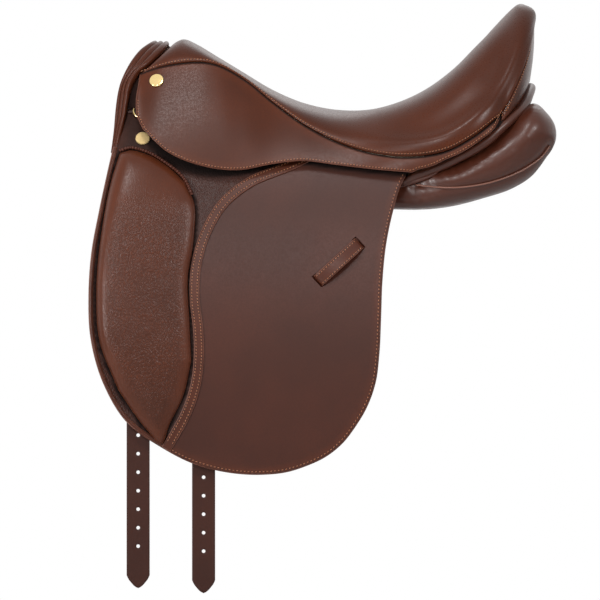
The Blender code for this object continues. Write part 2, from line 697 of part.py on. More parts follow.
def add_flap(side, sign):
    """The flap on its split line, with the knee block, facing strip, rim and keeper that ride on it."""
    front, rear = Vector(FLAP_SPLIT_FRONT), Vector(FLAP_SPLIT_REAR)
    pivot = on_surface(sign, flap_half, front * MM)
    gap = Vector((0, -SPLIT_GAP / MM))
    flap = patch((front + gap, rear + gap), FLAP_BOTTOM, FLAP_FRONT, FLAP_REAR, FLAP_GRID, FLAP_GRID)
    side_sheet(side + "_flap", sign, flap, flap_half, 0.0, -FLAP_LEATHER, "flap leather", pivot)
    fixed_front = Vector((FLAP_TOP_FRONT, line_z(front, rear, FLAP_TOP_FRONT)))
    fixed = patch(FLAP_TOP_UPPER, (fixed_front, rear), (FLAP_TOP_UPPER[0], fixed_front),
                  (FLAP_TOP_UPPER[-1], rear), 14, 4)
    side_sheet(side + "_flap_top", sign, fixed, flap_half, 0.0, -FLAP_LEATHER, "flap leather")

    def crown(v, u):
        front_roll = 1 - (1 - min(u / 0.22, 1.0)) ** 2.4
        fall = math.cos(math.pi / 2 * max(u - 0.3, 0.0) / 0.7) ** 0.8
        ends = math.sin(math.pi * min(max(v, 0.0), 1.0)) ** 0.55
        return SEAT_GAP + KNEE_BLOCK_EDGE + (KNEE_BLOCK_RISE - KNEE_BLOCK_EDGE) * front_roll * fall * ends

    shape = patch(BLOCK_TOP, BLOCK_BOTTOM, BLOCK_FRONT, BLOCK_REAR, 10, 16)
    side_sheet(side + "_knee_block", sign, shape, flap_half, crown, SEAT_GAP, "grained leather", pivot)
    strip = strap_grid(STRIP_LINE, STRIP_WIDTH, 24)
    side_sheet(side + "_flap_facing", sign, strip, flap_half, SEAT_GAP + STRIP_LEATHER, SEAT_GAP,
               "flap leather", pivot)
    reach = Vector((math.cos(KEEPER_SLOPE), math.sin(KEEPER_SLOPE))) * KEEPER_LENGTH / 2 / MM
    centre = Vector(KEEPER_CENTRE) / MM
    keeper = strap_grid((centre - reach, centre + reach), KEEPER_WIDTH, 10)

    rim = strap_grid(FLAP_FRONT + FLAP_BOTTOM[1:2], RIM_WIDTH, 16, 2, shift=RIM_SHIFT)[:-1]
    side_sheet(side + "_flap_rim", sign, rim, flap_half,
               lambda v, u: SEAT_GAP + RIM_EDGE + (RIM_RISE - RIM_EDGE) * math.sin(math.pi * u), SEAT_GAP,
               "flap leather", pivot)

    def loop(v, _):
        return SEAT_GAP + KEEPER_RISE * math.sin(math.pi * v) ** 0.6

    side_sheet(side + "_keeper", sign, keeper, flap_half, lambda v, u: loop(v, u) + KEEPER_LEATHER, loop,
               "flap leather", pivot)


def add_sweat_flap(side, sign):
    """The under-flap: it follows the flap inside its edge and reaches up to the tree."""
    front, rear = Vector(FLAP_SPLIT_FRONT), Vector(FLAP_SPLIT_REAR)
    flap = patch((front, rear), FLAP_BOTTOM, FLAP_FRONT, FLAP_REAR, FLAP_GRID, FLAP_GRID)
    grid = [row[1:-1] for row in flap[1:-1]]
    top = [p * MM for p in even(SWEAT_TOP, len(grid[0]) - 1)]
    middle = [a.lerp(b, 0.5) for a, b in zip(top, grid[0])]
    side_sheet(side + "_sweat_flap", sign, [top, middle] + grid, flap_half, -SWEAT_DEPTH,
               -SWEAT_DEPTH - SWEAT_LEATHER, "flap leather")


PANEL = Curve([(x, widened(half), *rest) for x, half, *rest in PANEL_SECTIONS])


def panel_ring(x, count):
    """Cross-section of the panel at one x, as half widths and heights round a rounded box."""
    low, high = 0.0, 1.0
    for _ in range(30):
        share = (low + high) / 2
        low, high = (share, high) if PANEL.at(share)[0] < x else (low, share)
    _, half, level, length, depth, tilt = PANEL.at(low)
    tilt = math.radians(tilt)
    back = (x - PANEL_SECTIONS[0][0]) / (PANEL_SECTIONS[-1][0] - PANEL_SECTIONS[0][0])
    roundness = PANEL_ROUNDNESS_FRONT + (PANEL_ROUNDNESS_REAR - PANEL_ROUNDNESS_FRONT) * back
    free = max(x - PANEL_FREE_FROM, 0) * MM * PANEL_FREE_RATE
    ring = []
    for k in range(count):
        c, s = math.cos(math.tau * k / count), math.sin(math.tau * k / count)
        u = math.copysign(abs(c) ** roundness, c) * length
        v = math.copysign(abs(s) ** roundness, s) * depth
        y = (half + u * math.cos(tilt) + v * math.sin(tilt)) * MM
        z = (level - u * math.sin(tilt) + v * math.cos(tilt)) * MM
        ring.append((min(y, flap_half(x * MM, z) - PANEL_DEPTH + free), z))
    return ring


def panel_side(rings, x, z):
    """Half width of the panel's outer side at one x and height, on its facets."""
    before = max(ring for ring in rings[:-1] if ring[0] <= x)
    after = min(ring for ring in rings if ring[0] > x)
    t = (x - before[0]) / (after[0] - before[0])
    ring = [Vector(a).lerp(Vector(b), t) for a, b in zip(before[1], after[1])]
    sides = []
    for a, b in zip(ring, ring[1:] + ring[:1]):
        if min(a.y, b.y) <= z <= max(a.y, b.y):
            sides.append(a.x + (b.x - a.x) * (z - a.y) / (b.y - a.y))
    return max(sides)


def add_panel(side, sign):
    """The flocked panel, and the piping along the seam of its gusset."""
    front, rear = PANEL_SECTIONS[0][0], PANEL_SECTIONS[-1][0]
    stations = shares(PANEL_ROWS, front, rear)[:-1] + [PANEL_SECTIONS[-2][0], rear]
    rings = [(x * MM, panel_ring(x, PANEL_SIDES)) for x in stations]
    bm = bmesh.new()
    lines = [[bm.verts.new((x, sign * y, z)) for y, z in ring] for x, ring in rings]
    for a, b in zip(lines, lines[1:]):
        for k in range(PANEL_SIDES):
            bm.faces.new((a[k - 1], a[k], b[k], b[k - 1]))
    bm.faces.new(lines[0])
    bm.faces.new(lines[-1])
    finish_mesh(side + "_panel", bm, "panel leather", sharp=60)
    out = PIPING_DIAMETER / 2 + PIPING_STANDOFF

    def outer_side(x, z):
        return panel_side(rings, x, z)

    route = [p * MM for p in even(PIPING_LINE, 16)]
    points = [on_surface(sign, outer_side, p) + surface_normal(sign, outer_side, p) * out for p in route]
    tube(side + "_panel_piping", points, PIPING_DIAMETER, "panel leather", sides=6)


def add_webs_and_billets(side, sign):
    """Webs down from the tree's edge, and the billets that swing from them between the flaps."""
    for place, line, x, tip in (("front", FRONT_WEB_LINE, FRONT_BILLET_X, FRONT_BILLET_TIP),
                                ("rear", REAR_WEB_LINE, REAR_BILLET_X, REAR_BILLET_TIP)):
        web = strap_grid(line, GIRTH_WEB_WIDTH, 10)
        side_sheet(f"{side}_{place}_girth_web", sign, web, flap_half, -WEB_DEPTH,
                   -WEB_DEPTH - WEB_THICKNESS, "webbing")
        shoulder = tip + BILLET_POINT
        rows = [(z, 1.0) for z in shares(12, BILLET_TOP, BILLET_STRAIGHT_BELOW)]
        rows += [(shoulder, 1.0), ((shoulder + tip) / 2, 0.62), (tip + 0.001, 0.2), (tip, 0.08)]
        grid = [[Vector((x + BILLET_WIDTH * (t - 0.5) * taper, z)) for t in shares(1)] for z, taper in rows]
        grids = [[[Vector((p.x, sign * (flap_half(p.x, max(p.y, BILLET_STRAIGHT_BELOW)) - depth), p.y))
                   for p in row] for row in grid] for depth in (BILLET_DEPTH, BILLET_DEPTH + BILLET_LEATHER)]
        middle = flap_half(x, BILLET_PIVOT) - BILLET_DEPTH - BILLET_LEATHER / 2
        billet = skin(f"{side}_{place}_billet", grids[0], grids[1], "bridle leather",
                      (x, sign * middle, BILLET_PIVOT))
        level = sign * (flap_half(x, BILLET_STRAIGHT_BELOW) - BILLET_DEPTH - BILLET_LEATHER / 2)
        holes = [Vector((x, level, tip + LOWEST_HOLE_UP + HOLE_PITCH * k)) for k in range(HOLE_COUNT)]
        bore(billet, holes, (0, 1, 0), HOLE_DIAMETER, 0.04)


def local_frame(sign, surface, point, out):
    """A frame on the saddle's side: x runs rearwards, y up along the leather and z outwards."""
    normal = surface_normal(sign, surface, point)
    along = (Vector((1, 0, 0)) - normal * normal.x).normalized()
    up = normal.cross(along)
    up = up if up.z > 0 else -up
    turn = Matrix((along, up, normal)).transposed().to_4x4()
    return Matrix.Translation(on_surface(sign, surface, point) + normal * out) @ turn


def add_nail(name, sign, surface, point):
    """A domed brass nail head, flat on the leather."""
    radius = NAIL_DIAMETER / 2
    profile = ((0, NAIL_RISE), (0.5, NAIL_RISE * 0.93), (0.82, NAIL_RISE * 0.68), (1, NAIL_RISE * 0.3),
               (1, 0), (0, 0))
    bm = bmesh.new()
    chain = [bm.verts.new((share * radius, 0, height)) for share, height in profile]
    edges = [bm.edges.new(pair) for pair in zip(chain, chain[1:])]
    bmesh.ops.spin(bm, geom=chain + edges, axis=(0, 0, 1), cent=(0, 0, 0), steps=NAIL_SEGMENTS,
                   angle=math.tau, dvec=(0, 0, 0))
    bmesh.ops.transform(bm, matrix=local_frame(sign, surface, point, SEAT_GAP), verts=bm.verts)
    finish_mesh(name, bm, "brass", sharp=50)


def add_dee(side, sign):
    """The dee ring on its straight bar, the chape that holds it, and the small tab in front."""
    hold = DEE_WIRE / 2 + CHAPE_PLAY + CHAPE_LEATHER
    frame = local_frame(sign, flap_half, DEE_CENTRE, SEAT_GAP + hold)
    radius = (DEE_WIDTH - DEE_WIRE) / 2
    bar_x = radius * math.cos(DEE_OPENING)
    arc = [frame @ Vector((radius * math.cos(a), radius * math.sin(a), 0))
           for a in shares(14, DEE_OPENING, math.tau - DEE_OPENING)]
    pivot = frame @ Vector((bar_x, 0, 0))
    tube(side + "_dee_ring", arc, DEE_WIRE, "brass", pivot, cyclic=True, sides=6)
    nose = [(bar_x - hold * math.sin(a), hold * math.cos(a)) for a in shares(6, 0.0, math.pi)]
    tail = [(bar_x + CHAPE_LENGTH, -hold), (bar_x + CHAPE_LENGTH, hold - CHAPE_PLAY - DEE_WIRE / 2)]
    turn = Matrix.Rotation(math.radians(90), 4, "X")
    place = frame @ Matrix.Translation((0, CHAPE_HEIGHT / 2, 0)) @ turn
    chape = extruded(side + "_dee_chape", nose + tail, place, CHAPE_HEIGHT, "bridle leather")
    bore(chape, [pivot], frame.col[1].to_3d(), DEE_WIRE + 2 * CHAPE_PLAY, 0.03)
    x, z = TAB_PLACE
    tab = [[Vector((x + TAB_LENGTH * u, z + TAB_HEIGHT * v)) for u in shares(2)] for v in shares(1)]
    side_sheet(side + "_front_tab", sign, tab, flap_half, SEAT_GAP + CHAPE_LEATHER, SEAT_GAP,
               "bridle leather")


def add_stirrup_bar(side, sign):
    """The bar stands off a plate on the tree's edge, joined at its front; a catch closes its rear."""
    half = BAR_HEIGHT / 2
    end = BAR_LENGTH / 2
    frame = local_frame(sign, flap_half, (BAR_FRONT + end, BAR_BOTTOM + half), 0)
    base = -FLAP_LEATHER * abs(frame.col[2].y)
    levels = (half + BAR_SLOT + BAR_PLATE_HEIGHT, half + BAR_SLOT, half, -half)
    across = (-end, BAR_LUG - end, end)
    grids = []
    for plate, tongue in ((base + BAR_PLATE_THICKNESS, BAR_STANDOFF + BAR_THICKNESS), (base, BAR_STANDOFF)):
        outs = (plate, plate, tongue, tongue)
        grids.append([[frame @ Vector((x, y, out)) for x in across] for y, out in zip(levels, outs)])
    bar = skin(side + "_stirrup_bar", grids[0], grids[1], "steel", is_open=lambda i, j: i == 1 and j > 0)
    low = BAR_STANDOFF - CATCH_TO_BAR - CATCH_THICKNESS
    place = frame @ Matrix.Translation((end - PIN_INSET, 0, low))
    wide = CATCH_HEIGHT / 2
    outline = [(-wide, -wide), (CATCH_LENGTH - wide, -wide), (CATCH_LENGTH, 0),
               (CATCH_LENGTH - wide, wide), (-wide, wide)]
    centre = place.translation
    catch = extruded(side + "_bar_catch", outline, place, CATCH_THICKNESS, "steel", centre)
    axis = frame.col[2].to_3d()
    for piece in (catch, bar):
        bore(piece, [centre], axis, PIN_DIAMETER + 2 * PIN_CLEARANCE, 3 * PIN_LENGTH)
    pin = [centre + axis * reach for reach in (-PIN_HEAD, PIN_LENGTH)]
    tube(side + "_catch_pin", pin, PIN_DIAMETER, "steel", sides=8)


def build():
    for obj in list(bpy.data.objects):
        bpy.data.objects.remove(obj, do_unlink=True)
    tree_top = [section_row(TREE.at(s), SEAT_COLUMNS, TREE_FULLNESS, SEAT_EDGE_SLOPE)
                for s in shares(TREE_ROWS)]
    rows = shares(SEAT_ROWS, 0.0, CORNER_SHARE) + shares(CANTLE_ROWS, CORNER_SHARE, 1.0)[1:]
    cover = [section_row(SEAT.at(s), SEAT_COLUMNS, SEAT_FULLNESS, SEAT_EDGE_SLOPE) for s in rows]
    add_seat(cover, tree_top)
    add_tree(tree_top)
    add_pommel()
    add_cantle(cover)
    for side, sign in SIDES:
        add_skirt(side, sign, [row[0] for row in cover[:SEAT_ROWS + 1]])
        add_flap(side, sign)
        add_sweat_flap(side, sign)
        add_panel(side, sign)
        add_webs_and_billets(side, sign)
        add_nail(side + "_upper_nail", sign, skirt_half, UPPER_NAIL)
        add_nail(side + "_lower_nail", sign, flap_half, LOWER_NAIL)
        add_dee(side, sign)
        add_stirrup_bar(side, sign)


build()
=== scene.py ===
"""Dressage saddle: leather, padding, stitching and fittings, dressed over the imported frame.

Frame: +X runs to the cantle, the near side is -Y, +Z is up. Lengths are metres, and the pattern
tables are millimetres.
"""

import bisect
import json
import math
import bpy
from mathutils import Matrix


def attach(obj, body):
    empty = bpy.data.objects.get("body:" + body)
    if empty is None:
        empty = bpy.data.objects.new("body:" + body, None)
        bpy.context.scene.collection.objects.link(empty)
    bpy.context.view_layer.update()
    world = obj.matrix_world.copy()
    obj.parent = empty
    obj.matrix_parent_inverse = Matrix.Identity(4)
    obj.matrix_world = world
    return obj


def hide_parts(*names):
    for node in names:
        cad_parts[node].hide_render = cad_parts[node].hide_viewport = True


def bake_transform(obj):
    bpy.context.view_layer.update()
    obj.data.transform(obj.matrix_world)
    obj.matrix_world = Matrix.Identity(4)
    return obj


bl_info = {
    "name": "Dressage Saddle",
    "version": (1, 0, 0),
    "blender": (4, 5, 0),
    "location": "3D View > Sidebar > Saddle",
    "description": "Builds the leather, padding, stitching and fittings of a dressage saddle",
    "category": "Add Mesh",
}

import bmesh
import bpy
import numpy as np
from bpy.props import FloatProperty, FloatVectorProperty, PointerProperty
from bpy.types import Operator, Panel, PropertyGroup
from mathutils import Matrix, Vector, noise
from mathutils.geometry import delaunay_2d_cdt

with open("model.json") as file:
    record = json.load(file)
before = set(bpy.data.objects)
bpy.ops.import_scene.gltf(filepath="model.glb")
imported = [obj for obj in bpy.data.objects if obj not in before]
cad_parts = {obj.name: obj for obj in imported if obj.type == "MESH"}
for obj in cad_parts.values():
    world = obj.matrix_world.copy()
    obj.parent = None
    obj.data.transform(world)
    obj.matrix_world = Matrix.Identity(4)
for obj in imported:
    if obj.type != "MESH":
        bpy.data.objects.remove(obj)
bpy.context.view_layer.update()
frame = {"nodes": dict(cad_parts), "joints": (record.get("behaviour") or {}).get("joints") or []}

MM = 0.001
SIDES = (("near", -1.0), ("off", 1.0))

# Depth of each layer behind the flap's outer face, and its thickness
FLAP_LEATHER = 0.0045
SKIRT_LEATHER = 0.0040
SEAT_LEATHER = 0.0025
CANTLE_LEATHER = 0.0030
BILLET_LEATHER = 0.0040
SWEAT_LEATHER = 0.0035
BILLET_DEPTH = 0.0076
SWEAT_DEPTH = 0.0161
PANEL_DEPTH = 0.0204
SURFACE_GAP = 0.0003

# How the sides hang: half width of the flaps at the top, and how they flare below it
FLAP_TOP_HALF_WIDTH = 0.104
FLAP_SPLAY = 0.156
FLARE = 0.075
FLARE_DEPTH = 0.150
WIDEST_FORWARD = -0.300
SKIRT_STANDOFF_FRONT = 0.020
SKIRT_STANDOFF_REAR = 0.013
SKIRT_HEM_LEVEL = -0.020
SKIRT_SWELL = 0.0045
SKIRT_SWELL_DEPTH = 0.13

# Seat: centre x, centre z, seam x, seam half width, seam z, rise of the rim between the two
SEAT_SECTIONS = (
    (-200, 137, -238, 66, 104, 0),
    (-193, 141.5, -218, 69, 111, 0),
    (-184.5, 143.6, -195, 70, 115.5, 0),
    (-169, 137, -169, 71, 117.7, 0),
    (-145, 122.5, -146, 72, 114, 0),
    (-116, 105, -116, 75, 98.2, 0),
    (-80, 83.5, -80, 83, 69.5, 0),
    (-40, 67, -40, 102, 41, 0),
    (0, 59.5, 0, 120, 21, 0),
    (38, 60.5, 40, 135, 8.7, 2),
    (75, 71, 82, 147, 4.4, 5),
    (108, 88, 125, 154, 10.7, 8),
    (140, 113, 160, 152, 29, 9),
    (166, 139, 182, 142, 45.9, 7),
    (186, 161, 193, 131, 55.5, 4),
    (203, 178.5, 203, 124, 72, 1),
    (214, 185.8, 217, 106, 103, 0),
    (223, 182.5, 226, 80, 133, 0),
    (229, 173, 230, 42, 158, 0),
    (231, 167, 231, 0, 167, 0),
)
CORNER_SECTION = 14
SEAT_FULLNESS = 0.62
SEAT_EDGE_SLOPE = 0.45

# Panel sections: x, centre half width, centre z, half length, half depth, tilt in degrees
PANEL_SECTIONS = (
    (-252, 68, 8, 44, 7, 62),
    (-235, 68, 6, 55, 10, 62),
    (-180, 72, 2, 61, 13, 58),
    (-110, 77, -4, 60, 17, 48),
    (-30, 84, -15, 49, 23, 34),
    (50, 85, -27, 49, 27, 22),
    (120, 84, -29, 54, 27, 7),
    (172, 83, -8, 56, 35, 7),
    (205, 81, 9, 54, 41, 4),
    (228, 79, 26, 49, 43, 3),
    (244, 77, 30, 40, 27, 2),
    (252, 76, 30, 26, 15, 0),
    (255, 76, 30, 8, 5, 0),
)
PANEL_FREE_FROM = 100
PANEL_FREE_RATE = 0.60
PANEL_ROUNDNESS_FRONT = 0.85
PANEL_ROUNDNESS_REAR = 0.80

# Patterns of the side pieces, as x and z of the finished, hanging shape
FLAP_SPLIT = ((-270, 17), (81, -13))
FLAP_FRONT = ((-270, 16), (-276, -10), (-287, -61), (-296, -110), (-299.4, -160), (-297, -212),
              (-281, -268), (-254.3, -311.8))
FLAP_BOTTOM = ((-254.3, -311.8), (-213, -342), (-176, -361), (-134, -372), (-92.8, -374.7),
               (-61.9, -371.3), (-39.6, -364.1), (-18.1, -354.1), (3.6, -336.8), (18.1, -318),
               (32.5, -293.6))
FLAP_REAR = ((81, -14), (71.4, -33), (64, -58), (55.5, -97.3), (50.5, -146), (49, -188),
             (46.9, -231.5), (42.6, -264.7), (32.5, -293.6))
FLAP_TOP_UPPER = ((-253, 66), (-222, 64), (-205, 42), (-186, 27), (-90, 25), (-40, 12), (20, 0),
                  (81, -8))
FLAP_TOP_FRONT = ((-264, 20), (-262, 30), (-253, 66))
BLOCK_TOP = ((-262, 8), (-250, 11.5), (-236, 9), (-206, -7), (-184, -27))
BLOCK_FRONT = ((-262, 8), (-269.5, -15), (-283, -80), (-290, -160), (-287, -212), (-264, -274))
BLOCK_REAR = ((-184, -27), (-174, -50), (-174, -93), (-181, -140), (-179, -195), (-177, -240))
BLOCK_BOTTOM = ((-264, -274), (-231, -320), (-212.5, -338), (-203, -315), (-187, -282), (-177, -240))
STRIP_LINE = ((-36, 5), (-56, -5), (-74, -12), (-105, -25), (-140, -53), (-159, -85), (-171, -125),
              (-173, -165), (-169, -200), (-168, -233), (-172, -268), (-183, -301), (-200.5, -333),
              (-212, -352))
SWEAT_TOP = ((-250, 56.5), (-218, 60.5), (-202, 55.5), (-170, 48.5), (-130, 43.5), (-85, 37.5),
             (-45, 25.5), (0, 8.5), (40, -3.5), (64, -9.5))
SKIRT_SPLIT = ((-243, 74), (92.8, -10.4))
SKIRT_FRONT = ((-243, 73), (-242.4, 55), (-234.8, 36.7))
SKIRT_HEM = ((-234.8, 36.7), (-206, 10), (-163, -7.4), (-120, -12.1), (-83, -5.4), (-46.4, -1.2),
             (-2, -6.2), (40, -11.1), (86, -15))
SKIRT_STRIP = ((92.8, -11.4), (106, -8.5), (125, 0), (146.4, 9.8), (167.4, 23.6), (184.5, 38.4),
               (191.5, 52))
POMMEL_OUTER = ((-271.5, 91, 8), (-268, 80, 33), (-266.6, 73, 52), (-264, 66, 71), (-259, 58, 90),
                (-251, 48, 109.5), (-239, 33, 126.5), (-228, 16, 134.5), (-223.5, 0, 136.5))
POMMEL_INNER = ((-266.5, 96, 10), (-259.5, 86, 36), (-255, 79, 53.5), (-252, 73.5, 71), (-248, 68.5, 89),
                (-240, 63.8, 102.5), (-226, 56.5, 114), (-213, 42, 126), (-205.5, 20, 133.5),
                (-203.5, 0, 135.5))
CANTLE_HEM = ((193, 133, 47.6), (201, 126, 55), (211, 108, 67), (220, 81, 81), (224.5, 43, 90),
              (226, 0, 94))
WELT_LINE = ((74, 122, -27), (84, 125, -23), (95, 127.5, -18.2), (107, 130.5, -13.7), (119, 133.5, -8.9),
             (131, 136, -3.6), (143, 138, 2.6), (155, 138.5, 8.6), (167, 137.5, 15.7),
             (178.5, 135, 24), (190, 130.5, 35), (202, 122, 45.8), (212, 108, 54.7), (219.5, 88, 64),
             (225.5, 48, 78), (227.5, 0, 84.5))
WELT_BACK_FROM = 10
FOLD_LINE = ((68, 119.5, -31.5), (76, 122, -29.3), (84, 124.5, -27), (95, 127.5, -23.4), (107, 130.5, -19.2),
             (117, 133, -14))
PIPING_LINE = ((90, -30), (125, -32.7), (156.8, -30.6), (188.7, -23.2), (220.6, -9.5), (240, 5),
               (249, 17))
KEEPER_CENTRE = (-0.0015, -0.1214)
KEEPER_SLOPE = math.radians(42.5)
KEEPER_LENGTH = 0.067
KEEPER_WIDTH = 0.0157
UPPER_NAIL = (-0.2182, 0.0941)
LOWER_NAIL = (-0.2347, 0.0252)
BILLETS = (("front", -0.2402, -0.5095), ("rear", -0.1623, -0.5155))
BILLET_TOP = -0.0060
BILLET_STRAIGHT_BELOW = -0.330
BILLET_POINT = 0.0155


class Curve:
    """A smooth curve through a few points, read by its share from 0 to 1."""

    def __init__(self, points):
        self.points = [Vector(p) for p in points]
        self.knots = [0.0]
        for a, b in zip(self.points, self.points[1:]):
            self.knots.append(self.knots[-1] + (b - a).length)
        self.tangents = [self._tangent(i) for i in range(len(self.points))]

    def _tangent(self, i):
        last = len(self.points) - 1
        if i in (0, last):
            j = min(i, last - 1)
            return (self.points[j + 1] - self.points[j]) / (self.knots[j + 1] - self.knots[j])
        before = self.knots[i] - self.knots[i - 1]
        after = self.knots[i + 1] - self.knots[i]
        fall = (self.points[i] - self.points[i - 1]) / before
        rise = (self.points[i + 1] - self.points[i]) / after
        return (fall * after + rise * before) / (before + after)

    def share_of(self, index):
        """How far along the curve one of its points is."""
        return self.knots[index] / self.knots[-1]

    def at(self, share):
        """The place at a share of the curve's length."""
        place = min(max(share, 0.0), 1.0) * self.knots[-1]
        i = min(max(bisect.bisect_right(self.knots, place) - 1, 0), len(self.points) - 2)
        step = self.knots[i + 1] - self.knots[i]
        t = (place - self.knots[i]) / step
        a, b = self.points[i], self.points[i + 1]
        return (a * (2 * t**3 - 3 * t**2 + 1) + b * (3 * t**2 - 2 * t**3)
                + (self.tangents[i] * (t**3 - 2 * t**2 + t) + self.tangents[i + 1] * (t**3 - t**2)) * step)

    def samples(self, count):
        """Even places along the curve, in metres."""
        return [self.at(k / count) * MM for k in range(count + 1)]


SEAT = Curve(SEAT_SECTIONS)
PANEL = Curve(PANEL_SECTIONS)
CORNER_SHARE = SEAT.share_of(CORNER_SECTION)
SEAM = np.array([SEAT.at(CORNER_SHARE * k / 160) * MM for k in range(161)])


def flap_half(x, z):
    """Half width of the saddle at the outer face of the flap."""
    top = FLAP_TOP_HALF_WIDTH + FLAP_SPLAY * (x - WIDEST_FORWARD) ** 2
    return top + FLARE * (1 - np.exp(z / FLARE_DEPTH))


def skirt_half(x, z):
    """Half width at the outer face of the skirt: straight from the seat seam to its hem."""
    seam_half = np.interp(x, SEAM[:, 2], SEAM[:, 3])
    seam_z = np.interp(x, SEAM[:, 2], SEAM[:, 4])
    front, rear = SKIRT_SPLIT[0][0] * MM, SKIRT_SPLIT[1][0] * MM
    t = np.clip((x - front) / (rear - front), 0, 1)
    standoff = SKIRT_STANDOFF_FRONT + (SKIRT_STANDOFF_REAR - SKIRT_STANDOFF_FRONT) * t
    hem_half = flap_half(x, SKIRT_HEM_LEVEL) + standoff
    down = (seam_z - z) / (seam_z - SKIRT_HEM_LEVEL)
    swell = SKIRT_SWELL * np.sin(math.pi * np.clip(down, 0, 1))
    swell = swell * np.clip((seam_z - SKIRT_HEM_LEVEL) / SKIRT_SWELL_DEPTH, 0, 1)
    return seam_half + (hem_half - seam_half) * down + swell


def billet_half(x, z):
    """Half width at the outer face of a billet."""
    return flap_half(x, np.maximum(z, BILLET_STRAIGHT_BELOW)) - BILLET_DEPTH


# Flat patterns

def trace(*edges, step=0.0022):
    """A closed outline in metres, anticlockwise, through smooth edges of pattern points."""
    outline = []
    for edge in edges:
        curve = Curve(edge)
        count = max(1, round(curve.knots[-1] * MM / step))
        outline += [tuple(p) for p in curve.samples(count)[:-1]]
    outline = np.array(outline)
    ahead = np.roll(outline, -1, axis=0)
    area = np.sum(outline[:, 0] * ahead[:, 1] - ahead[:, 0] * outline[:, 1])
    return outline if area > 0 else outline[::-1]


def strap_outline(line, width, shift=0.0):
    """The outline of a strap of even width along a line of pattern points."""
    curve = Curve(line)
    sides = ([], [])
    count = max(2, round(curve.knots[-1] / 2.5))
    for k in range(count + 1):
        s = k / count
        ahead = curve.at(min(s + 0.01, 1.0)) - curve.at(max(s - 0.01, 0.0))
        across = Vector((-ahead[1], ahead[0])).normalized() * width / MM
        sides[0].append(curve.at(s) + across * (shift - 0.5))
        sides[1].append(curve.at(s) + across * (shift + 0.5))
    return trace(sides[0], (sides[0][-1], sides[1][-1]), sides[1][::-1], (sides[1][0], sides[0][0]))


def disc_outline(x, z, radius, count=16):
    """A round hole, clockwise, so that its inside counts as outside the leather."""
    turns = [-math.tau * k / count for k in range(count)]
    return np.array([(x + radius * math.cos(turn), z + radius * math.sin(turn)) for turn in turns])


def measure(points, lines):
    """Distance of each point to the nearest of some closed lines, and how far along that line."""
    best = np.full(len(points), 1e9)
    along = np.zeros(len(points))
    for line in lines:
        spans = np.roll(line, -1, axis=0) - line
        lengths = np.hypot(spans[:, 0], spans[:, 1])
        starts = np.concatenate(([0.0], np.cumsum(lengths)[:-1]))
        for corner, span, length, start in zip(line, spans, lengths, starts):
            if length < 1e-9:
                continue
            away = points - corner
            t = np.clip(away @ span / length**2, 0, 1)
            gap = np.hypot(*(away - t[:, None] * span).T)
            closer = gap < best
            best[closer] = gap[closer]
            along[closer] = start + t[closer] * length
    return best, along


def within(points, line):
    """Which of the points lie inside a closed line."""
    x, z = points.T
    odd = np.zeros(len(points), bool)
    for (x1, z1), (x2, z2) in zip(line, np.roll(line, -1, axis=0)):
        if z1 != z2:
            odd ^= ((z1 > z) != (z2 > z)) & (x < (x2 - x1) * (z - z1) / (z2 - z1) + x1)
    return odd


def ring_inside(line, depth):
    """The line moved to its left by a depth."""
    ahead = np.roll(line, -1, axis=0) - np.roll(line, 1, axis=0)
    left = np.stack((-ahead[:, 1], ahead[:, 0]), axis=1)
    return line + left / np.hypot(*left.T)[:, None] * depth


def fill_pattern(outline, step, depths, holes=(), marks=()):
    """Points and triangles of a flat pattern: fine rings inside its edges and an even grid within."""
    lines = [outline, *holes]
    points, edges = [], []
    for line in (*lines, *marks):
        first = len(points)
        points += list(line)
        edges += [(first + k, first + (k + 1) % len(line)) for k in range(len(line))]
    rings = [ring_inside(line, depth) for line in lines for depth in depths]
    rings += [ring_inside(mark, side * depth) for mark in marks for depth in depths[:2] for side in (1, -1)]
    wanted = [(ring, depth) for ring, depth in zip(rings, list(depths) * len(lines))]
    wanted += [(ring, depths[0]) for ring in rings[len(wanted):]]
    for ring, depth in wanted:
        keep = (measure(ring, lines)[0] > depth * 0.96) & within(ring, outline)
        points += list(ring[keep])
    low, high = outline.min(axis=0), outline.max(axis=0)
    rows = np.arange(low[1], high[1], step * 0.866)
    columns = np.arange(low[0], high[0], step)
    grid = np.array([(x + (k % 2) * step / 2, z) for k, z in enumerate(rows) for x in columns])
    grid = grid[within(grid, outline)]
    keep = measure(grid, lines)[0] > depths[-1] + step * 0.5
    if marks:
        keep &= measure(grid, marks)[0] > depths[1] + step * 0.3
    points += list(grid[keep])
    flat, _, faces, *_ = delaunay_2d_cdt([Vector(p) for p in points], edges, [], 0, 1e-7, False)
    flat = np.array([tuple(p) for p in flat])
    faces = np.array([tuple(f) for f in faces])
    centres = flat[faces].mean(axis=1)
    keep = within(centres, outline)
    for hole in holes:
        keep &= ~within(centres, hole)
    faces = faces[keep]
    a, b, c = (flat[faces[:, k]] for k in range(3))
    turned = (b - a)[:, 0] * (c - a)[:, 1] - (b - a)[:, 1] * (c - a)[:, 0] < 0
    faces[turned] = faces[turned][:, ::-1]
    return flat, faces


# Meshes

def new_piece(name, verts, faces, material, edge=None, extra=None):
    """A smooth mesh with the distance to its cut edge stored on its points."""
    mesh = bpy.data.meshes.new(name)
    mesh.from_pydata([tuple(v) for v in verts], [], [tuple(int(i) for i in f) for f in faces])
    mesh.shade_smooth()
    for key, values in (("edge", edge), *(extra or {}).items()):
        if values is not None:
            stored = mesh.attributes.new(key, "FLOAT", "POINT")
            stored.data.foreach_set("value", np.asarray(values, np.float32))
    mesh.materials.append(material)
    mesh.update()
    return in_scene(name, mesh)


def in_scene(name, data):
    """A new object that holds some data, linked into the scene."""
    obj = bpy.data.objects.new(name, data)
    bpy.context.scene.collection.objects.link(obj)
    return obj


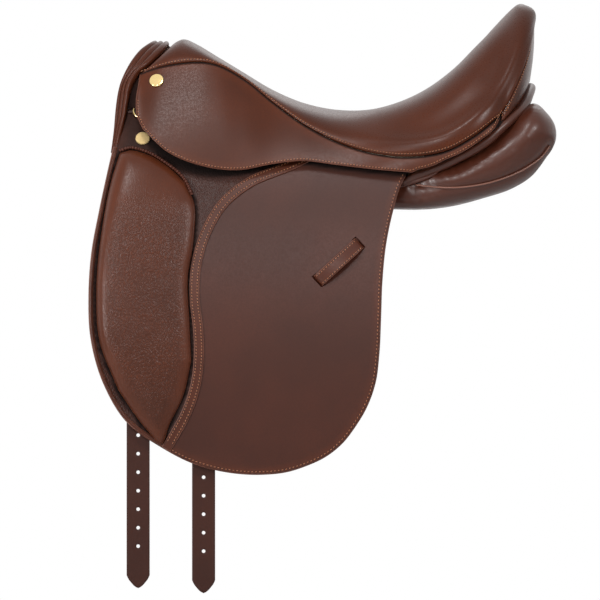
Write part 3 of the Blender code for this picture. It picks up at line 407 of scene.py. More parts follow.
def rolled(distance, radius):
    """How far a rounded edge falls at a distance from the cut."""
    inner = radius - np.clip(distance, 0, radius)
    return radius - np.sqrt(np.maximum(radius**2 - inner**2, 0))


def leather_piece(name, sign, outline, outer, inner, roll, material, step=0.004, holes=(), marks=(),
                  extra=None):
    """A cut piece of leather on the saddle's side, with rounded edges.

    outer and inner give its half widths from x, z, the distance to the edge and the place along it.
    """
    depths = [roll * share for share in (0.13, 0.5, 1.0)] + [roll + 0.0012]
    flat, faces = fill_pattern(outline, step, depths, holes, marks)
    distance, along = measure(flat, [outline, *holes])
    x, z = flat.T
    top = outer(x, z, distance, along) - rolled(distance, roll)
    base = inner(x, z, distance, along) + rolled(distance, roll) * 0.4
    base = np.minimum(base, top - 0.0001)
    verts = np.concatenate((np.stack((x, sign * top, z), axis=1), np.stack((x, sign * base, z), axis=1)))
    count = len(flat)
    used = dict.fromkeys((int(face[k]), int(face[(k + 1) % 3])) for face in faces for k in range(3))
    borders = [(a, b) for a, b in used if (b, a) not in used]
    shell = [tuple(f) for f in faces] + [tuple(f[::-1] + count) for f in faces]
    shell += [(b, a, a + count, b + count) for a, b in borders]
    if sign > 0:
        shell = [face[::-1] for face in shell]
    doubled = {key: np.tile(rule(x, z), 2) for key, rule in (extra or {}).items()}
    return new_piece(name, verts, shell, material, np.tile(distance, 2), doubled)


def grid_normals(grid):
    """Unit normals of a grid of points; on a row drawn into one point they are all alike."""
    along = np.gradient(grid, axis=0)
    across = np.gradient(grid, axis=1)
    normals = np.cross(along, across)
    for i, row in enumerate(grid):
        if np.linalg.norm(row[0] - row[-1]) < 1e-7 and np.linalg.norm(row[0] - row[len(row) // 2]) < 1e-7:
            near = min(max(i, 1), len(grid) - 2)
            normals[i] = normals[near].sum(axis=0)
    lengths = np.linalg.norm(normals, axis=2)
    return normals / np.maximum(lengths, 1e-12)[:, :, None]


def shell(name, outer, inner, material, edge=None):
    """A closed solid between two grids of points."""
    rows, columns = outer.shape[:2]
    verts = np.concatenate((outer.reshape(-1, 3), inner.reshape(-1, 3)))
    faces = []
    for i in range(rows - 1):
        for j in range(columns - 1):
            a, d = i * columns + j, (i + 1) * columns + j
            faces.append((a, a + 1, d + 1, d))
            faces.append(tuple(v + rows * columns for v in (d, d + 1, a + 1, a)))
    loop = [i * columns + j for i, j in border_cells(rows, columns)]
    for a, b in zip(loop, loop[1:] + loop[:1]):
        faces.append((b, a, a + rows * columns, b + rows * columns))
    distances = None if edge is None else np.tile(np.asarray(edge).ravel(), 2)
    obj = new_piece(name, verts, faces, material, distances)
    tidy(obj)
    return obj


def border_cells(rows, columns):
    """Grid places round the border, in order."""
    return ([(0, j) for j in range(columns)] + [(i, columns - 1) for i in range(1, rows)]
            + [(rows - 1, j) for j in range(columns - 2, -1, -1)] + [(i, 0) for i in range(rows - 2, 0, -1)])


def tidy(obj):
    """Merge the points that fall together and turn the closed mesh's faces outwards."""
    bm = bmesh.new()
    bm.from_mesh(obj.data)
    bmesh.ops.remove_doubles(bm, verts=bm.verts, dist=2e-6)
    bmesh.ops.dissolve_degenerate(bm, edges=bm.edges, dist=1e-7)
    bmesh.ops.recalc_face_normals(bm, faces=bm.faces)
    if bm.calc_volume(signed=True) < 0:
        bmesh.ops.reverse_faces(bm, faces=bm.faces)
    bm.to_mesh(obj.data)
    bm.free()
    obj.data.shade_smooth()


def settle(obj):
    """Make the object's modifiers part of its mesh."""
    evaluated = obj.evaluated_get(bpy.context.evaluated_depsgraph_get())
    mesh = bpy.data.meshes.new_from_object(evaluated)
    obj.modifiers.clear()
    old = obj.data
    obj.data = mesh
    bpy.data.meshes.remove(old)
    obj.data.name = obj.name
    return obj


def ring_faces(rings, sides, closed=False):
    """Four-cornered faces between rings of points that follow each other."""
    faces = []
    for i in range(rings if closed else rings - 1):
        a, b = i * sides, (i + 1) % rings * sides
        faces += [(a + k, a + (k + 1) % sides, b + (k + 1) % sides, b + k) for k in range(sides)]
    return faces


def tube(name, points, radii, material, closed=False, sides=16):
    """A round cord through the points, with its own radius at each."""
    points = np.array(points)
    count = len(points)
    radii = np.broadcast_to(radii, count)
    side = None
    rings = []
    for i, point in enumerate(points):
        before = points[i - 1] if i or closed else point
        after = points[(i + 1) % count] if i + 1 < count or closed else point
        along = Vector(after - before).normalized()
        side = along.orthogonal() if side is None else side - along * side.dot(along)
        side.normalize()
        up = along.cross(side)
        turns = [math.tau * k / sides for k in range(sides)]
        rings.append([Vector(point) + (side * math.cos(turn) + up * math.sin(turn)) * radii[i]
                      for turn in turns])
    verts = [v for ring in rings for v in ring]
    faces = ring_faces(count, sides, closed)
    if not closed:
        faces += [tuple(range(sides)), tuple(range((count - 1) * sides, count * sides))]
    obj = new_piece(name, verts, faces, material)
    tidy(obj)
    return obj


def both_sides(points):
    """The near half of a line that ends on the middle of the saddle, and its off half after it."""
    near = [Vector((x, -y, z)) for x, y, z in points]
    return near + [Vector((p.x, -p.y, p.z)) for p in reversed(near[:-1])]


def over(line):
    """The curve of a near line of pattern points, carried on over the off side."""
    return Curve([p / MM for p in both_sides([Vector(p) * MM for p in line])])


def surface_frame(sign, surface, x, z, out=0.0):
    """A frame on the saddle's side: x runs rearwards, y up along the leather and z outwards."""
    point, normal = on_side(np.array([(x, z)]), sign, surface)
    normal = Vector(normal[0])
    along = (Vector((1, 0, 0)) - normal * normal.x).normalized()
    up = normal.cross(along)
    up = up if up.z > 0 else -up
    turn = Matrix((along, up, normal)).transposed().to_4x4()
    return Matrix.Translation(Vector(point[0]) + normal * out) @ turn


def on_side(flat, sign, surface):
    """Points of a flat line on the saddle's side, and the outward direction at each."""
    x, z = np.asarray(flat).T
    half = surface(x, z)
    step = 0.0008
    slope_x = (surface(x + step, z) - surface(x - step, z)) / (2 * step)
    slope_z = (surface(x, z + step) - surface(x, z - step)) / (2 * step)
    points = np.stack((x, sign * half, z), axis=1)
    outs = np.stack((-slope_x, np.full(len(x), sign), -slope_z), axis=1)
    return points, outs / np.linalg.norm(outs, axis=1)[:, None]


# Materials

def put(tree, kind, inputs=None, **settings):
    """Add a node; a value that is a socket is linked, and any other is set."""
    node = tree.nodes.new(kind)
    for key, value in settings.items():
        setattr(node, key, value)
    for key, value in (inputs or {}).items():
        socket = node.inputs[key]
        if isinstance(value, bpy.types.NodeSocket):
            tree.links.new(value, socket)
        else:
            socket.default_value = value
    return node


def sums(tree, operation, a, b, clamp=False):
    """The result of a sum of two values."""
    node = put(tree, "ShaderNodeMath", {0: a, 1: b}, operation=operation, use_clamp=clamp)
    return node.outputs[0]


def span(tree, value, low, high, to_low=0.0, to_high=1.0):
    """A value from one range carried over smoothly into another."""
    node = put(tree, "ShaderNodeMapRange", {"Value": value, "From Min": low, "From Max": high,
                                            "To Min": to_low, "To Max": to_high})
    node.interpolation_type = "SMOOTHSTEP"
    return node.outputs[0]


def mixed(tree, factor, a, b):
    """Two colours mixed by a factor."""
    return put(tree, "ShaderNodeMix", {0: factor, 6: a, 7: b}, data_type="RGBA").outputs[2]


def effect(name, inputs, outputs):
    """An empty shader node group with named sockets, and its ends."""
    group = bpy.data.node_groups.new(name, "ShaderNodeTree")
    for label, kind, value in inputs:
        socket = group.interface.new_socket(name=label, in_out="INPUT", socket_type=kind)
        if value is not None:
            socket.default_value = value
    for label, kind in outputs:
        group.interface.new_socket(name=label, in_out="OUTPUT", socket_type=kind)
    return group, group.nodes.new("NodeGroupInput"), group.nodes.new("NodeGroupOutput")


def grain_effect():
    """Leather grain: rounded pebbles with creases between them, over a fine pore texture."""
    group, given, result = effect(
        "Leather Grain",
        (("Vector", "NodeSocketVector", None), ("Pebble Size", "NodeSocketFloat", 0.002),
         ("Pebble Amount", "NodeSocketFloat", 0.0), ("Pore Amount", "NodeSocketFloat", 0.5)),
        (("Height", "NodeSocketFloat"), ("Crease", "NodeSocketFloat")))
    turn = put(group, "ShaderNodeMapping", {"Vector": given.outputs["Vector"], "Rotation": (0.0, 0.65, 0.0),
                                            "Scale": (1.0, 1.0, 0.62)})
    bend = put(group, "ShaderNodeTexNoise", {"Vector": turn.outputs[0], "Scale": 260.0, "Detail": 2.0})
    shift = put(group, "ShaderNodeVectorMath", {0: bend.outputs["Color"], 1: (0.0012, 0.0012, 0.0012)},
                operation="MULTIPLY")
    bent = put(group, "ShaderNodeVectorMath", {0: turn.outputs[0], 1: shift.outputs[0]}, operation="ADD")
    density = sums(group, "DIVIDE", 1.0, given.outputs["Pebble Size"])
    cells = put(group, "ShaderNodeTexVoronoi", {"Vector": bent.outputs[0], "Scale": density},
                feature="DISTANCE_TO_EDGE")
    pebble = span(group, cells.outputs["Distance"], 0.0, 0.28)
    swell = put(group, "ShaderNodeTexNoise", {"Vector": given.outputs["Vector"], "Scale": 210.0,
                                              "Detail": 3.0})
    pebble = sums(group, "MULTIPLY", pebble, span(group, swell.outputs[0], 0.3, 0.7, 0.75, 1.0))
    pores = put(group, "ShaderNodeTexNoise", {"Vector": given.outputs["Vector"], "Scale": 620.0,
                                              "Detail": 6.0, "Roughness": 0.72})
    rough = sums(group, "MULTIPLY", pebble, given.outputs["Pebble Amount"])
    fine = sums(group, "MULTIPLY", pores.outputs[0], given.outputs["Pore Amount"])
    group.links.new(sums(group, "ADD", rough, fine), result.inputs["Height"])
    group.links.new(sums(group, "SUBTRACT", 1.0, pebble, True), result.inputs["Crease"])
    return group


def edge_effect():
    """Cut edges: a burnished pale lip, a pressed crease beside it and a warmer band along the edge."""
    group, given, result = effect(
        "Leather Edge",
        (("Distance", "NodeSocketFloat", 1.0), ("Vector", "NodeSocketVector", None),
         ("Lip", "NodeSocketFloat", 0.0011), ("Crease At", "NodeSocketFloat", 0.0016),
         ("Band", "NodeSocketFloat", 0.012)),
        (("Lip", "NodeSocketFloat"), ("Crease", "NodeSocketFloat"), ("Band", "NodeSocketFloat")))
    waver = put(group, "ShaderNodeTexNoise", {"Vector": given.outputs["Vector"], "Scale": 60.0,
                                              "Detail": 3.0})
    reach = sums(group, "MULTIPLY", given.outputs["Lip"], span(group, waver.outputs[0], 0.25, 0.75, 0.6, 1.2))
    lip = put(group, "ShaderNodeMapRange", {"Value": given.outputs["Distance"], "From Min": 0.0,
                                            "From Max": reach, "To Min": 1.0, "To Max": 0.0})
    group.links.new(lip.outputs[0], result.inputs["Lip"])
    off = sums(group, "SUBTRACT", given.outputs["Distance"], given.outputs["Crease At"])
    near = sums(group, "DIVIDE", sums(group, "ABSOLUTE", off, 0.0), 0.00045)
    group.links.new(sums(group, "SUBTRACT", 1.0, near, True), result.inputs["Crease"])
    band = put(group, "ShaderNodeMapRange", {"Value": given.outputs["Distance"], "From Min": 0.0,
                                             "From Max": given.outputs["Band"], "To Min": 1.0, "To Max": 0.0})
    warmer = sums(group, "MULTIPLY", band.outputs[0], span(group, waver.outputs[0], 0.3, 0.7, 0.5, 1.0))
    group.links.new(warmer, result.inputs["Band"])
    return group


def tone_effect():
    """Uneven dye: broad clouds and small flecks, each from 0 to 1."""
    group, given, result = effect(
        "Dye Tone", (("Vector", "NodeSocketVector", None), ("Cloud Size", "NodeSocketFloat", 0.09)),
        (("Clouds", "NodeSocketFloat"), ("Flecks", "NodeSocketFloat")))
    density = sums(group, "DIVIDE", 1.0, given.outputs["Cloud Size"])
    clouds = put(group, "ShaderNodeTexNoise", {"Vector": given.outputs["Vector"], "Scale": density,
                                               "Detail": 4.0})
    flecks = put(group, "ShaderNodeTexNoise", {"Vector": given.outputs["Vector"], "Scale": 420.0,
                                               "Detail": 3.0})
    group.links.new(span(group, clouds.outputs[0], 0.3, 0.7), result.inputs["Clouds"])
    group.links.new(span(group, flecks.outputs[0], 0.3, 0.7), result.inputs["Flecks"])
    return group


def new_material(name):
    """A new material: its tree, its shader and the place of each point in the object."""
    material = bpy.data.materials.new(name)
    material.use_nodes = True
    tree = material.node_tree
    return tree, tree.nodes["Principled BSDF"], put(tree, "ShaderNodeTexCoord").outputs["Object"]


def paint(tree, shader, colour, roughness, height=None, depth=0.0):
    """Give a shader its colour and roughness, and the relief of a height."""
    tree.links.new(colour, shader.inputs["Base Color"])
    if isinstance(roughness, bpy.types.NodeSocket):
        tree.links.new(roughness, shader.inputs["Roughness"])
    else:
        shader.inputs["Roughness"].default_value = roughness
    if height is not None:
        relief = put(tree, "ShaderNodeBump", {"Height": height, "Distance": depth, "Strength": 1.0})
        tree.links.new(relief.outputs[0], shader.inputs["Normal"])


def place_effect(tree, name, where):
    """Put a shared effect into a material."""
    node = tree.nodes.new("ShaderNodeGroup")
    node.node_tree = bpy.data.node_groups[name]
    tree.links.new(where, node.inputs["Vector"])
    return node


def shaded(colour, share):
    """A colour made darker or lighter by a share."""
    return tuple(c * share for c in colour[:3]) + (1.0,)


# Shades of the leather, as shares of its own colour: dye, creases and painted shade
CLOUD_SHADES = (0.84, 1.13)
FLECK_SHADE = 0.55
GRAIN_SHADE = 0.35
CREASE_SHADE = 0.30
PAINTED_SHADE_SHARE = 0.10
PAINTED_SHADE_DULLING = 0.55


def leather(name, colours, roughness, pebble=0.0, pebble_size=0.0021, pore=0.5, depth=0.00022,
            split=False, sheen=0.20):
    """Dyed leather. With split, the pebbles show only where the piece is marked as grained."""
    tree, shader, where = new_material(name)
    tone, grain, edges = (place_effect(tree, effect_name, where)
                          for effect_name in ("Dye Tone", "Leather Grain", "Leather Edge"))
    grain.inputs["Pebble Size"].default_value = pebble_size
    grain.inputs["Pore Amount"].default_value = pore
    if split:
        marked = put(tree, "ShaderNodeAttribute", attribute_name="grained").outputs["Fac"]
        tree.links.new(sums(tree, "MULTIPLY", marked, pebble), grain.inputs["Pebble Amount"])
    else:
        grain.inputs["Pebble Amount"].default_value = pebble
    distance = put(tree, "ShaderNodeAttribute", attribute_name="edge").outputs["Fac"]
    tree.links.new(distance, edges.inputs["Distance"])
    base, warm, lip = colours
    colour = mixed(tree, tone.outputs["Clouds"], *(shaded(base, shade) for shade in CLOUD_SHADES))
    flecks = sums(tree, "MULTIPLY", tone.outputs["Flecks"], 0.30)
    colour = mixed(tree, flecks, colour, shaded(base, FLECK_SHADE))
    colour = mixed(tree, sums(tree, "MULTIPLY", edges.outputs["Band"], 0.45), colour, shaded(warm, 1.0))
    # Darker creases between the pebbles: partly dye that collects in them, partly painted shade of the relief
    if pebble:
        creased = sums(tree, "MULTIPLY", grain.outputs["Crease"], 0.55)
        if split:
            creased = sums(tree, "MULTIPLY", creased, marked)
        colour = mixed(tree, creased, colour, shaded(base, GRAIN_SHADE))
    pressed = sums(tree, "MULTIPLY", edges.outputs["Crease"], 0.55)
    colour = mixed(tree, pressed, colour, shaded(base, CREASE_SHADE))
    colour = mixed(tree, edges.outputs["Lip"], colour, (*lip[:3], 1.0))
    # Painted shade: where a piece is marked with it (gaps, grooves, under other pieces) the colour falls
    # towards a tenth of its own and the leather grows rougher
    painted_shade = put(tree, "ShaderNodeAttribute", attribute_name="painted_shade").outputs["Fac"]
    colour = mixed(tree, painted_shade, colour, shaded(base, PAINTED_SHADE_SHARE))
    spread = sums(tree, "MULTIPLY", tone.outputs["Flecks"], 0.10)
    rough = sums(tree, "ADD", spread, roughness - 0.05)
    rough = sums(tree, "ADD", rough, sums(tree, "MULTIPLY", painted_shade, PAINTED_SHADE_DULLING))
    sunk = sums(tree, "MULTIPLY", edges.outputs["Crease"], -1.2)
    height = sums(tree, "ADD", grain.outputs["Height"], sunk)
    paint(tree, shader, colour, rough, height, depth)
    shader.inputs["Specular IOR Level"].default_value = sheen


def thread_material(colour):
    """Waxed thread, with the twist of its strands."""
    tree, shader, where = new_material("waxed thread")
    twist = put(tree, "ShaderNodeTexWave", {"Vector": where, "Scale": 900.0, "Distortion": 1.5})
    tint = mixed(tree, twist.outputs["Fac"], shaded(colour, 0.75), shaded(colour, 1.1))
    paint(tree, shader, tint, 0.55, twist.outputs["Fac"], 0.00008)


def plain(name, colour, roughness):
    """A dull material, a little flecked."""
    tree, shader, where = new_material(name)
    fleck = put(tree, "ShaderNodeTexNoise", {"Vector": where, "Scale": 700.0, "Detail": 3.0})
    tint = mixed(tree, fleck.outputs[0], shaded(colour, 0.7), shaded(colour, 1.2))
    paint(tree, shader, tint, roughness)


def metal(name, colour, roughness, brushed):
    """Metal with fine scratches, long ones where it is brushed."""
    tree, shader, where = new_material(name)
    stretch = put(tree, "ShaderNodeMapping", {"Vector": where, "Scale": (40.0, 900.0, 900.0) if brushed
                                              else (600.0, 600.0, 600.0)})
    lines = put(tree, "ShaderNodeTexNoise", {"Vector": stretch.outputs[0], "Scale": 1.0, "Detail": 4.0})
    cloud = put(tree, "ShaderNodeTexNoise", {"Vector": where, "Scale": 70.0, "Detail": 3.0})
    tint = mixed(tree, span(tree, cloud.outputs[0], 0.3, 0.7), shaded(colour, 0.90), shaded(colour, 1.02))
    rough = span(tree, lines.outputs[0], 0.3, 0.7, roughness - 0.03, roughness + 0.05)
    paint(tree, shader, tint, rough, lines.outputs[0], 0.00001)
    shader.inputs["Metallic"].default_value = 1.0 if brushed else 0.55


def webbing_material(colour):
    """Plain woven webbing, its ribs across the strap."""
    tree, shader, where = new_material("woven webbing")
    ribs = put(tree, "ShaderNodeTexWave", {"Vector": where, "Scale": 420.0, "Distortion": 0.6},
               bands_direction="Z")
    yarns = put(tree, "ShaderNodeTexWave", {"Vector": where, "Scale": 520.0, "Distortion": 0.8},
                bands_direction="X")
    weave = sums(tree, "MULTIPLY", ribs.outputs["Fac"], yarns.outputs["Fac"])
    tint = mixed(tree, weave, shaded(colour, 0.55), shaded(colour, 1.05))
    paint(tree, shader, tint, 0.85, weave, 0.0003)


def beech_material(colour):
    """Laminated beech, with thin glue lines and short flecks."""
    tree, shader, where = new_material("laminated beech")
    stretch = put(tree, "ShaderNodeMapping", {"Vector": where, "Scale": (30.0, 260.0, 260.0)})
    fibre = put(tree, "ShaderNodeTexNoise", {"Vector": stretch.outputs[0], "Scale": 1.0, "Detail": 5.0})
    plies = put(tree, "ShaderNodeTexWave", {"Vector": where, "Scale": 110.0, "Distortion": 0.4},
                bands_direction="Z")
    tint = mixed(tree, fibre.outputs[0], shaded(colour, 0.75), shaded(colour, 1.15))
    tint = mixed(tree, span(tree, plies.outputs["Fac"], 0.0, 0.2, 0.5, 0.0), tint, shaded(colour, 0.4))
    paint(tree, shader, tint, 0.6, fibre.outputs[0], 0.0002)


def finish(name):
    """A finished material, by its name."""
    return bpy.data.materials[name]


def wear(nodes, material_name):
    """Give CAD nodes a finished material."""
    for name in nodes:
        for place in frame["nodes"][name].material_slots:
            place.material = finish(material_name)


# Stitching

def stitch_tree():
    """Lay one slanted stitch, and the two holes it comes out of as dark discs of painted shade, at even steps
    along a line.
    """
    tree = bpy.data.node_groups.new("Stitch Row", "GeometryNodeTree")
    face = tree.interface
    face.new_socket(name="Line", in_out="INPUT", socket_type="NodeSocketGeometry")
    for label, value in (("Pitch", 0.0038), ("Length", 0.0027), ("Width", 0.0009), ("Slant", 0.16)):
        face.new_socket(name=label, in_out="INPUT", socket_type="NodeSocketFloat").default_value = value
    for label in ("Thread", "Hole"):
        face.new_socket(name=label, in_out="INPUT", socket_type="NodeSocketMaterial")
    face.new_socket(name="Stitches", in_out="OUTPUT", socket_type="NodeSocketGeometry")
    given, result = tree.nodes.new("NodeGroupInput"), tree.nodes.new("NodeGroupOutput")
    curve = put(tree, "GeometryNodeMeshToCurve", {"Mesh": given.outputs["Line"]})
    evenly = put(tree, "GeometryNodeResampleCurve", {"Curve": curve.outputs[0],
                                                     "Length": given.outputs["Pitch"]}, mode="LENGTH")
    out = put(tree, "GeometryNodeInputNamedAttribute", {"Name": "out"}, data_type="FLOAT_VECTOR")
    tangent = put(tree, "GeometryNodeInputTangent")
    turn = put(tree, "FunctionNodeAxesToRotation", {"Primary Axis": out.outputs[0],
                                                    "Secondary Axis": tangent.outputs[0]},
               primary_axis="Z", secondary_axis="X")
    slant = put(tree, "ShaderNodeCombineXYZ", {"Z": given.outputs["Slant"]})
    size = put(tree, "ShaderNodeCombineXYZ", {"X": given.outputs["Length"], "Y": given.outputs["Width"],
                                              "Z": given.outputs["Width"]})
    half = put(tree, "ShaderNodeVectorMath", {0: size.outputs[0], 1: (0.5, 0.5, 0.5)}, operation="MULTIPLY")
    ball = put(tree, "GeometryNodeMeshUVSphere", {"Segments": 8, "Rings": 6, "Radius": 1.0})
    thread = put(tree, "GeometryNodeTransform", {"Geometry": ball.outputs[0], "Rotation": slant.outputs[0],
                                                 "Scale": half.outputs[0]})
    soft = put(tree, "GeometryNodeSetShadeSmooth", {"Geometry": thread.outputs[0]})
    radius = put(tree, "ShaderNodeMath", {0: given.outputs["Width"], 1: 0.62}, operation="MULTIPLY")
    disc = put(tree, "GeometryNodeMeshCircle", {"Vertices": 6, "Radius": radius.outputs[0]}, fill_type="NGON")
    branches = []
    reach = put(tree, "ShaderNodeMath", {0: given.outputs["Pitch"], 1: 0.5}, operation="MULTIPLY")
    offset = put(tree, "ShaderNodeCombineXYZ", {"X": reach.outputs[0], "Z": 0.00012})
    dot = put(tree, "GeometryNodeTransform", {"Geometry": disc.outputs[0], "Translation": offset.outputs[0]})
    for shape, material in ((soft, "Thread"), (dot, "Hole")):
        laid = put(tree, "GeometryNodeInstanceOnPoints", {"Points": evenly.outputs[0],
                                                          "Instance": shape.outputs[0],
                                                          "Rotation": turn.outputs[0]})
        real = put(tree, "GeometryNodeRealizeInstances", {"Geometry": laid.outputs[0]})
        painted = put(tree, "GeometryNodeSetMaterial", {"Geometry": real.outputs[0],
                                                        "Material": given.outputs[material]})
        branches.append(painted)
    joined = tree.nodes.new("GeometryNodeJoinGeometry")
    for branch in branches:
        tree.links.new(branch.outputs[0], joined.inputs[0])
    tree.links.new(joined.outputs[0], result.inputs[0])
    return tree


def sew(name, rows, pitch):
    """One mesh of stitches along rows of points with the outward direction at each."""
    sizes = bpy.context.scene.saddle_sizes
    verts, outs, edges = [], [], []
    for points, normals in rows:
        first = len(verts)
        verts += [tuple(p) for p in np.asarray(points)]
        outs += [tuple(n) for n in np.asarray(normals)]
        edges += [(first + k, first + k + 1) for k in range(len(points) - 1)]
    mesh = bpy.data.meshes.new(name)
    mesh.from_pydata(verts, edges, [])
    mesh.attributes.new("out", "FLOAT_VECTOR", "POINT").data.foreach_set(
        "vector", np.asarray(outs, np.float32).ravel())
    obj = in_scene(name, mesh)
    tree = bpy.data.node_groups["Stitch Row"]
    modifier = obj.modifiers.new("stitches", "NODES")
    modifier.node_group = tree
    values = {"Pitch": pitch, "Length": min(sizes.stitch_length, pitch * 0.72), "Width": sizes.stitch_width,
              "Slant": sizes.stitch_slant, "Thread": finish("waxed thread"), "Hole": finish("stitch hole shade")}
    for item in tree.interface.items_tree:
        if item.in_out == "INPUT" and item.name in values:
            modifier[item.identifier] = values[item.name]
    return settle(obj)


def part_of(line, start, end):
    """The stretch of a closed line from near one pattern point to near another."""
    first = int(np.argmin(np.hypot(*(line - np.array(start) * MM).T)))
    last = int(np.argmin(np.hypot(*(line - np.array(end) * MM).T)))
    if last < first:
        last += len(line)
    return np.array([line[k % len(line)] for k in range(first, last + 1)])


# Joints

def bend(obj, body, above, below):
    """Find the hinge of the lifting body a piece belongs to, and bake the piece's place into its mesh; the
    piece itself is not bent.
    """
    joint = next(j for j in frame["joints"] if j["child"] == body)
    axis = Vector(joint["axis"]).normalized()
    down = Vector((0, 0, -1))
    down = (down - axis * down.dot(axis)).normalized()
    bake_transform(obj)


# The seat and the pieces that join it

SEAT_COLUMNS = 72
SEAT_ROWS = 97
CORNER_ROWS = 21
SEAM_ROLL = 0.0022
SEAT_STITCH_IN = 0.0030
RIDGE_HEIGHT = 0.0062
VALLEY_DEPTH = 0.0013
SWELL_HEIGHT = 0.0012
CANTLE_BULGE = 0.002
CANTLE_ROLL = 0.0012
CANTLE_STITCH_IN = 0.0022
# How far below the hem the facing is tucked in, as a share of the way to the welt
CANTLE_TUCKS = ((0.2, 0.0020), (0.5, 0.0034), (0.8, 0.0034), (1.1, 0.0024))
WELT_RADIUS = 0.0060
WELT_SHIFT = (-0.0006, 0.0012, 0.0011)
FOLD_RADIUS = 0.0030
POMMEL_ROLL_COUNT = 3
POMMEL_ROLL_HEIGHT = 0.0034
POMMEL_BASE = 0.0024
POMMEL_BACK = 0.003
POMMEL_FULL_WIDTH = 0.018
SHADE_SHEET_LEATHER = 0.002
SHADE_SHEET_REAR = -0.205
SHADE_SHEET_FROM_LEVEL = 0.058
SHADE_SHEET_TUCK = 0.006
SHADE_SHEET_PAINTED_SHADE = 0.85


def seat_grid(places, columns=SEAT_COLUMNS):
    """Cross lines of the seat at some shares of its length, near edge to off edge."""
    v = np.linspace(-1, 1, columns + 1)
    t = np.abs(v)
    a, b, c = 3 * t * (1 - t) ** 2, 3 * t * t * (1 - t), t**3
    fall = 1 - (1 - t) ** 3 - a - b * SEAT_FULLNESS
    rows = []
    for place in places:
        centre_x, centre_z, edge_x, edge_half, edge_z, rim = SEAT.at(place) * MM
        drop = centre_z - edge_z
        half = a * SEAT_FULLNESS * edge_half + b * (edge_half - SEAT_FULLNESS * drop * SEAT_EDGE_SLOPE)
        half = np.copysign(half + c * edge_half, v)
        rows.append(np.stack((centre_x + (edge_x - centre_x) * fall, half,
                              centre_z - drop * fall + rim * np.sin(math.pi * t) ** 2), axis=1))
    return np.array(rows)


def edge_distance(grid, ends=()):
    """Distance along a grid from its side edges, and from its first or last row where asked."""
    steps = np.linalg.norm(np.diff(grid, axis=1), axis=2)
    left = np.concatenate((np.zeros((len(grid), 1)), np.cumsum(steps, axis=1)), axis=1)
    nearest = np.minimum(left, left[:, -1:] - left)
    steps = np.linalg.norm(np.diff(grid, axis=0), axis=2)
    down = np.concatenate((np.zeros((1, grid.shape[1])), np.cumsum(steps, axis=0)))
    if "first" in ends:
        nearest = np.minimum(nearest, down)
    if "last" in ends:
        nearest = np.minimum(nearest, down[-1:] - down)
    return nearest


def at_depth(grid, normals, depth):
    """The line of points a depth inside the near edge of a grid, with the outward directions there."""
    line, outs = [], []
    for row, out in zip(grid, normals):
        steps = np.concatenate(([0.0], np.cumsum(np.linalg.norm(np.diff(row, axis=0), axis=1))))
        if steps[-1] > 5 * depth:
            line.append([np.interp(depth, steps, row[:, k]) for k in range(3)])
            outs.append([np.interp(depth, steps, out[:, k]) for k in range(3)])
    return np.array(line), np.array(outs)


def off_side(row):
    """A stitch row's mirror image on the off side."""
    flip = np.array((1.0, -1.0, 1.0))
    return tuple(np.asarray(part) * flip for part in row)


def bump(value, middle, width):
    """A soft hump: 1 at the middle, and almost 0 at two widths from it."""
    return np.exp(-((value - middle) / width) ** 2)


def ease(value, low, high):
    """A smooth step from 0 at low to 1 at high."""
    t = np.clip((value - low) / (high - low), 0, 1)
    return t * t * (3 - 2 * t)


def border_distance(grid):
    """Distance of each point of the seat to its side and rear edge."""
    line = np.concatenate((grid[:, 0], grid[::-1, -1]))
    place = np.concatenate(([0.0], np.cumsum(np.linalg.norm(np.diff(line, axis=0), axis=1))))
    even = np.linspace(0, place[-1], 900)
    line = np.stack([np.interp(even, place, line[:, k]) for k in range(3)], axis=1)
    return np.array([np.linalg.norm(row[:, None] - line, axis=2).min(axis=1) for row in grid])


def smoothed(grid, rounds=30):
    """The grid with the creases of its rear sections smoothed away, its border kept."""
    amount = 0.5 * ease(grid[..., 0], 0.10, 0.15) * ease(border_distance(grid), 0.003, 0.012)
    amount *= ease(np.abs(grid[..., 1]), 0.025, 0.060)
    for _ in range(rounds):
        around = (grid[:-2, 1:-1] + grid[2:, 1:-1] + grid[1:-1, :-2] + grid[1:-1, 2:]) / 4
        grid = grid.copy()
        grid[1:-1, 1:-1] += amount[1:-1, 1:-1, None] * (around - grid[1:-1, 1:-1])
    return grid


def cantle_roll(grid):
    """The firm roll round the rear of the seat, and the valley in front of it."""
    distance = border_distance(grid)
    behind = ease(grid[..., 2], 0.070, 0.150)
    amount = ease(grid[..., 0], -0.010, 0.130) * ease(np.abs(grid[..., 1]), 0.004, 0.034)
    ridge = RIDGE_HEIGHT * bump(distance, 0.0165 - 0.0035 * behind, 0.0105)
    valley = VALLEY_DEPTH * bump(distance, 0.043 - 0.010 * behind, 0.014)
    return amount * (ridge - valley + SWELL_HEIGHT * bump(distance, 0.076, 0.022))


def make_seat():
    """The drawn leather seat, stitched along its seam with the skirts."""
    places = np.concatenate((np.linspace(0, CORNER_SHARE, SEAT_ROWS),
                             np.linspace(CORNER_SHARE, 1, CORNER_ROWS)[1:]))
    base = smoothed(seat_grid(places))
    normals = grid_normals(base)
    distance = edge_distance(base, ("first",))
    base = base + normals * cantle_roll(base)[:, :, None]
    normals = grid_normals(base)
    outer = base - normals * rolled(distance, SEAM_ROLL)[:, :, None]
    inner = base - normals * SEAT_LEATHER
    seat = shell("saddle_seat", outer, inner, finish("seat leather"), edge=distance)
    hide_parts("seat_cover")
    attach(seat, "root")
    sewn = SEAT_ROWS - 2
    near = at_depth(base[:sewn], normals[:sewn], SEAT_STITCH_IN)
    stitches = sew("seat_stitching", [near, off_side(near)], bpy.context.scene.saddle_sizes.skirt_pitch)
    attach(stitches, "root")


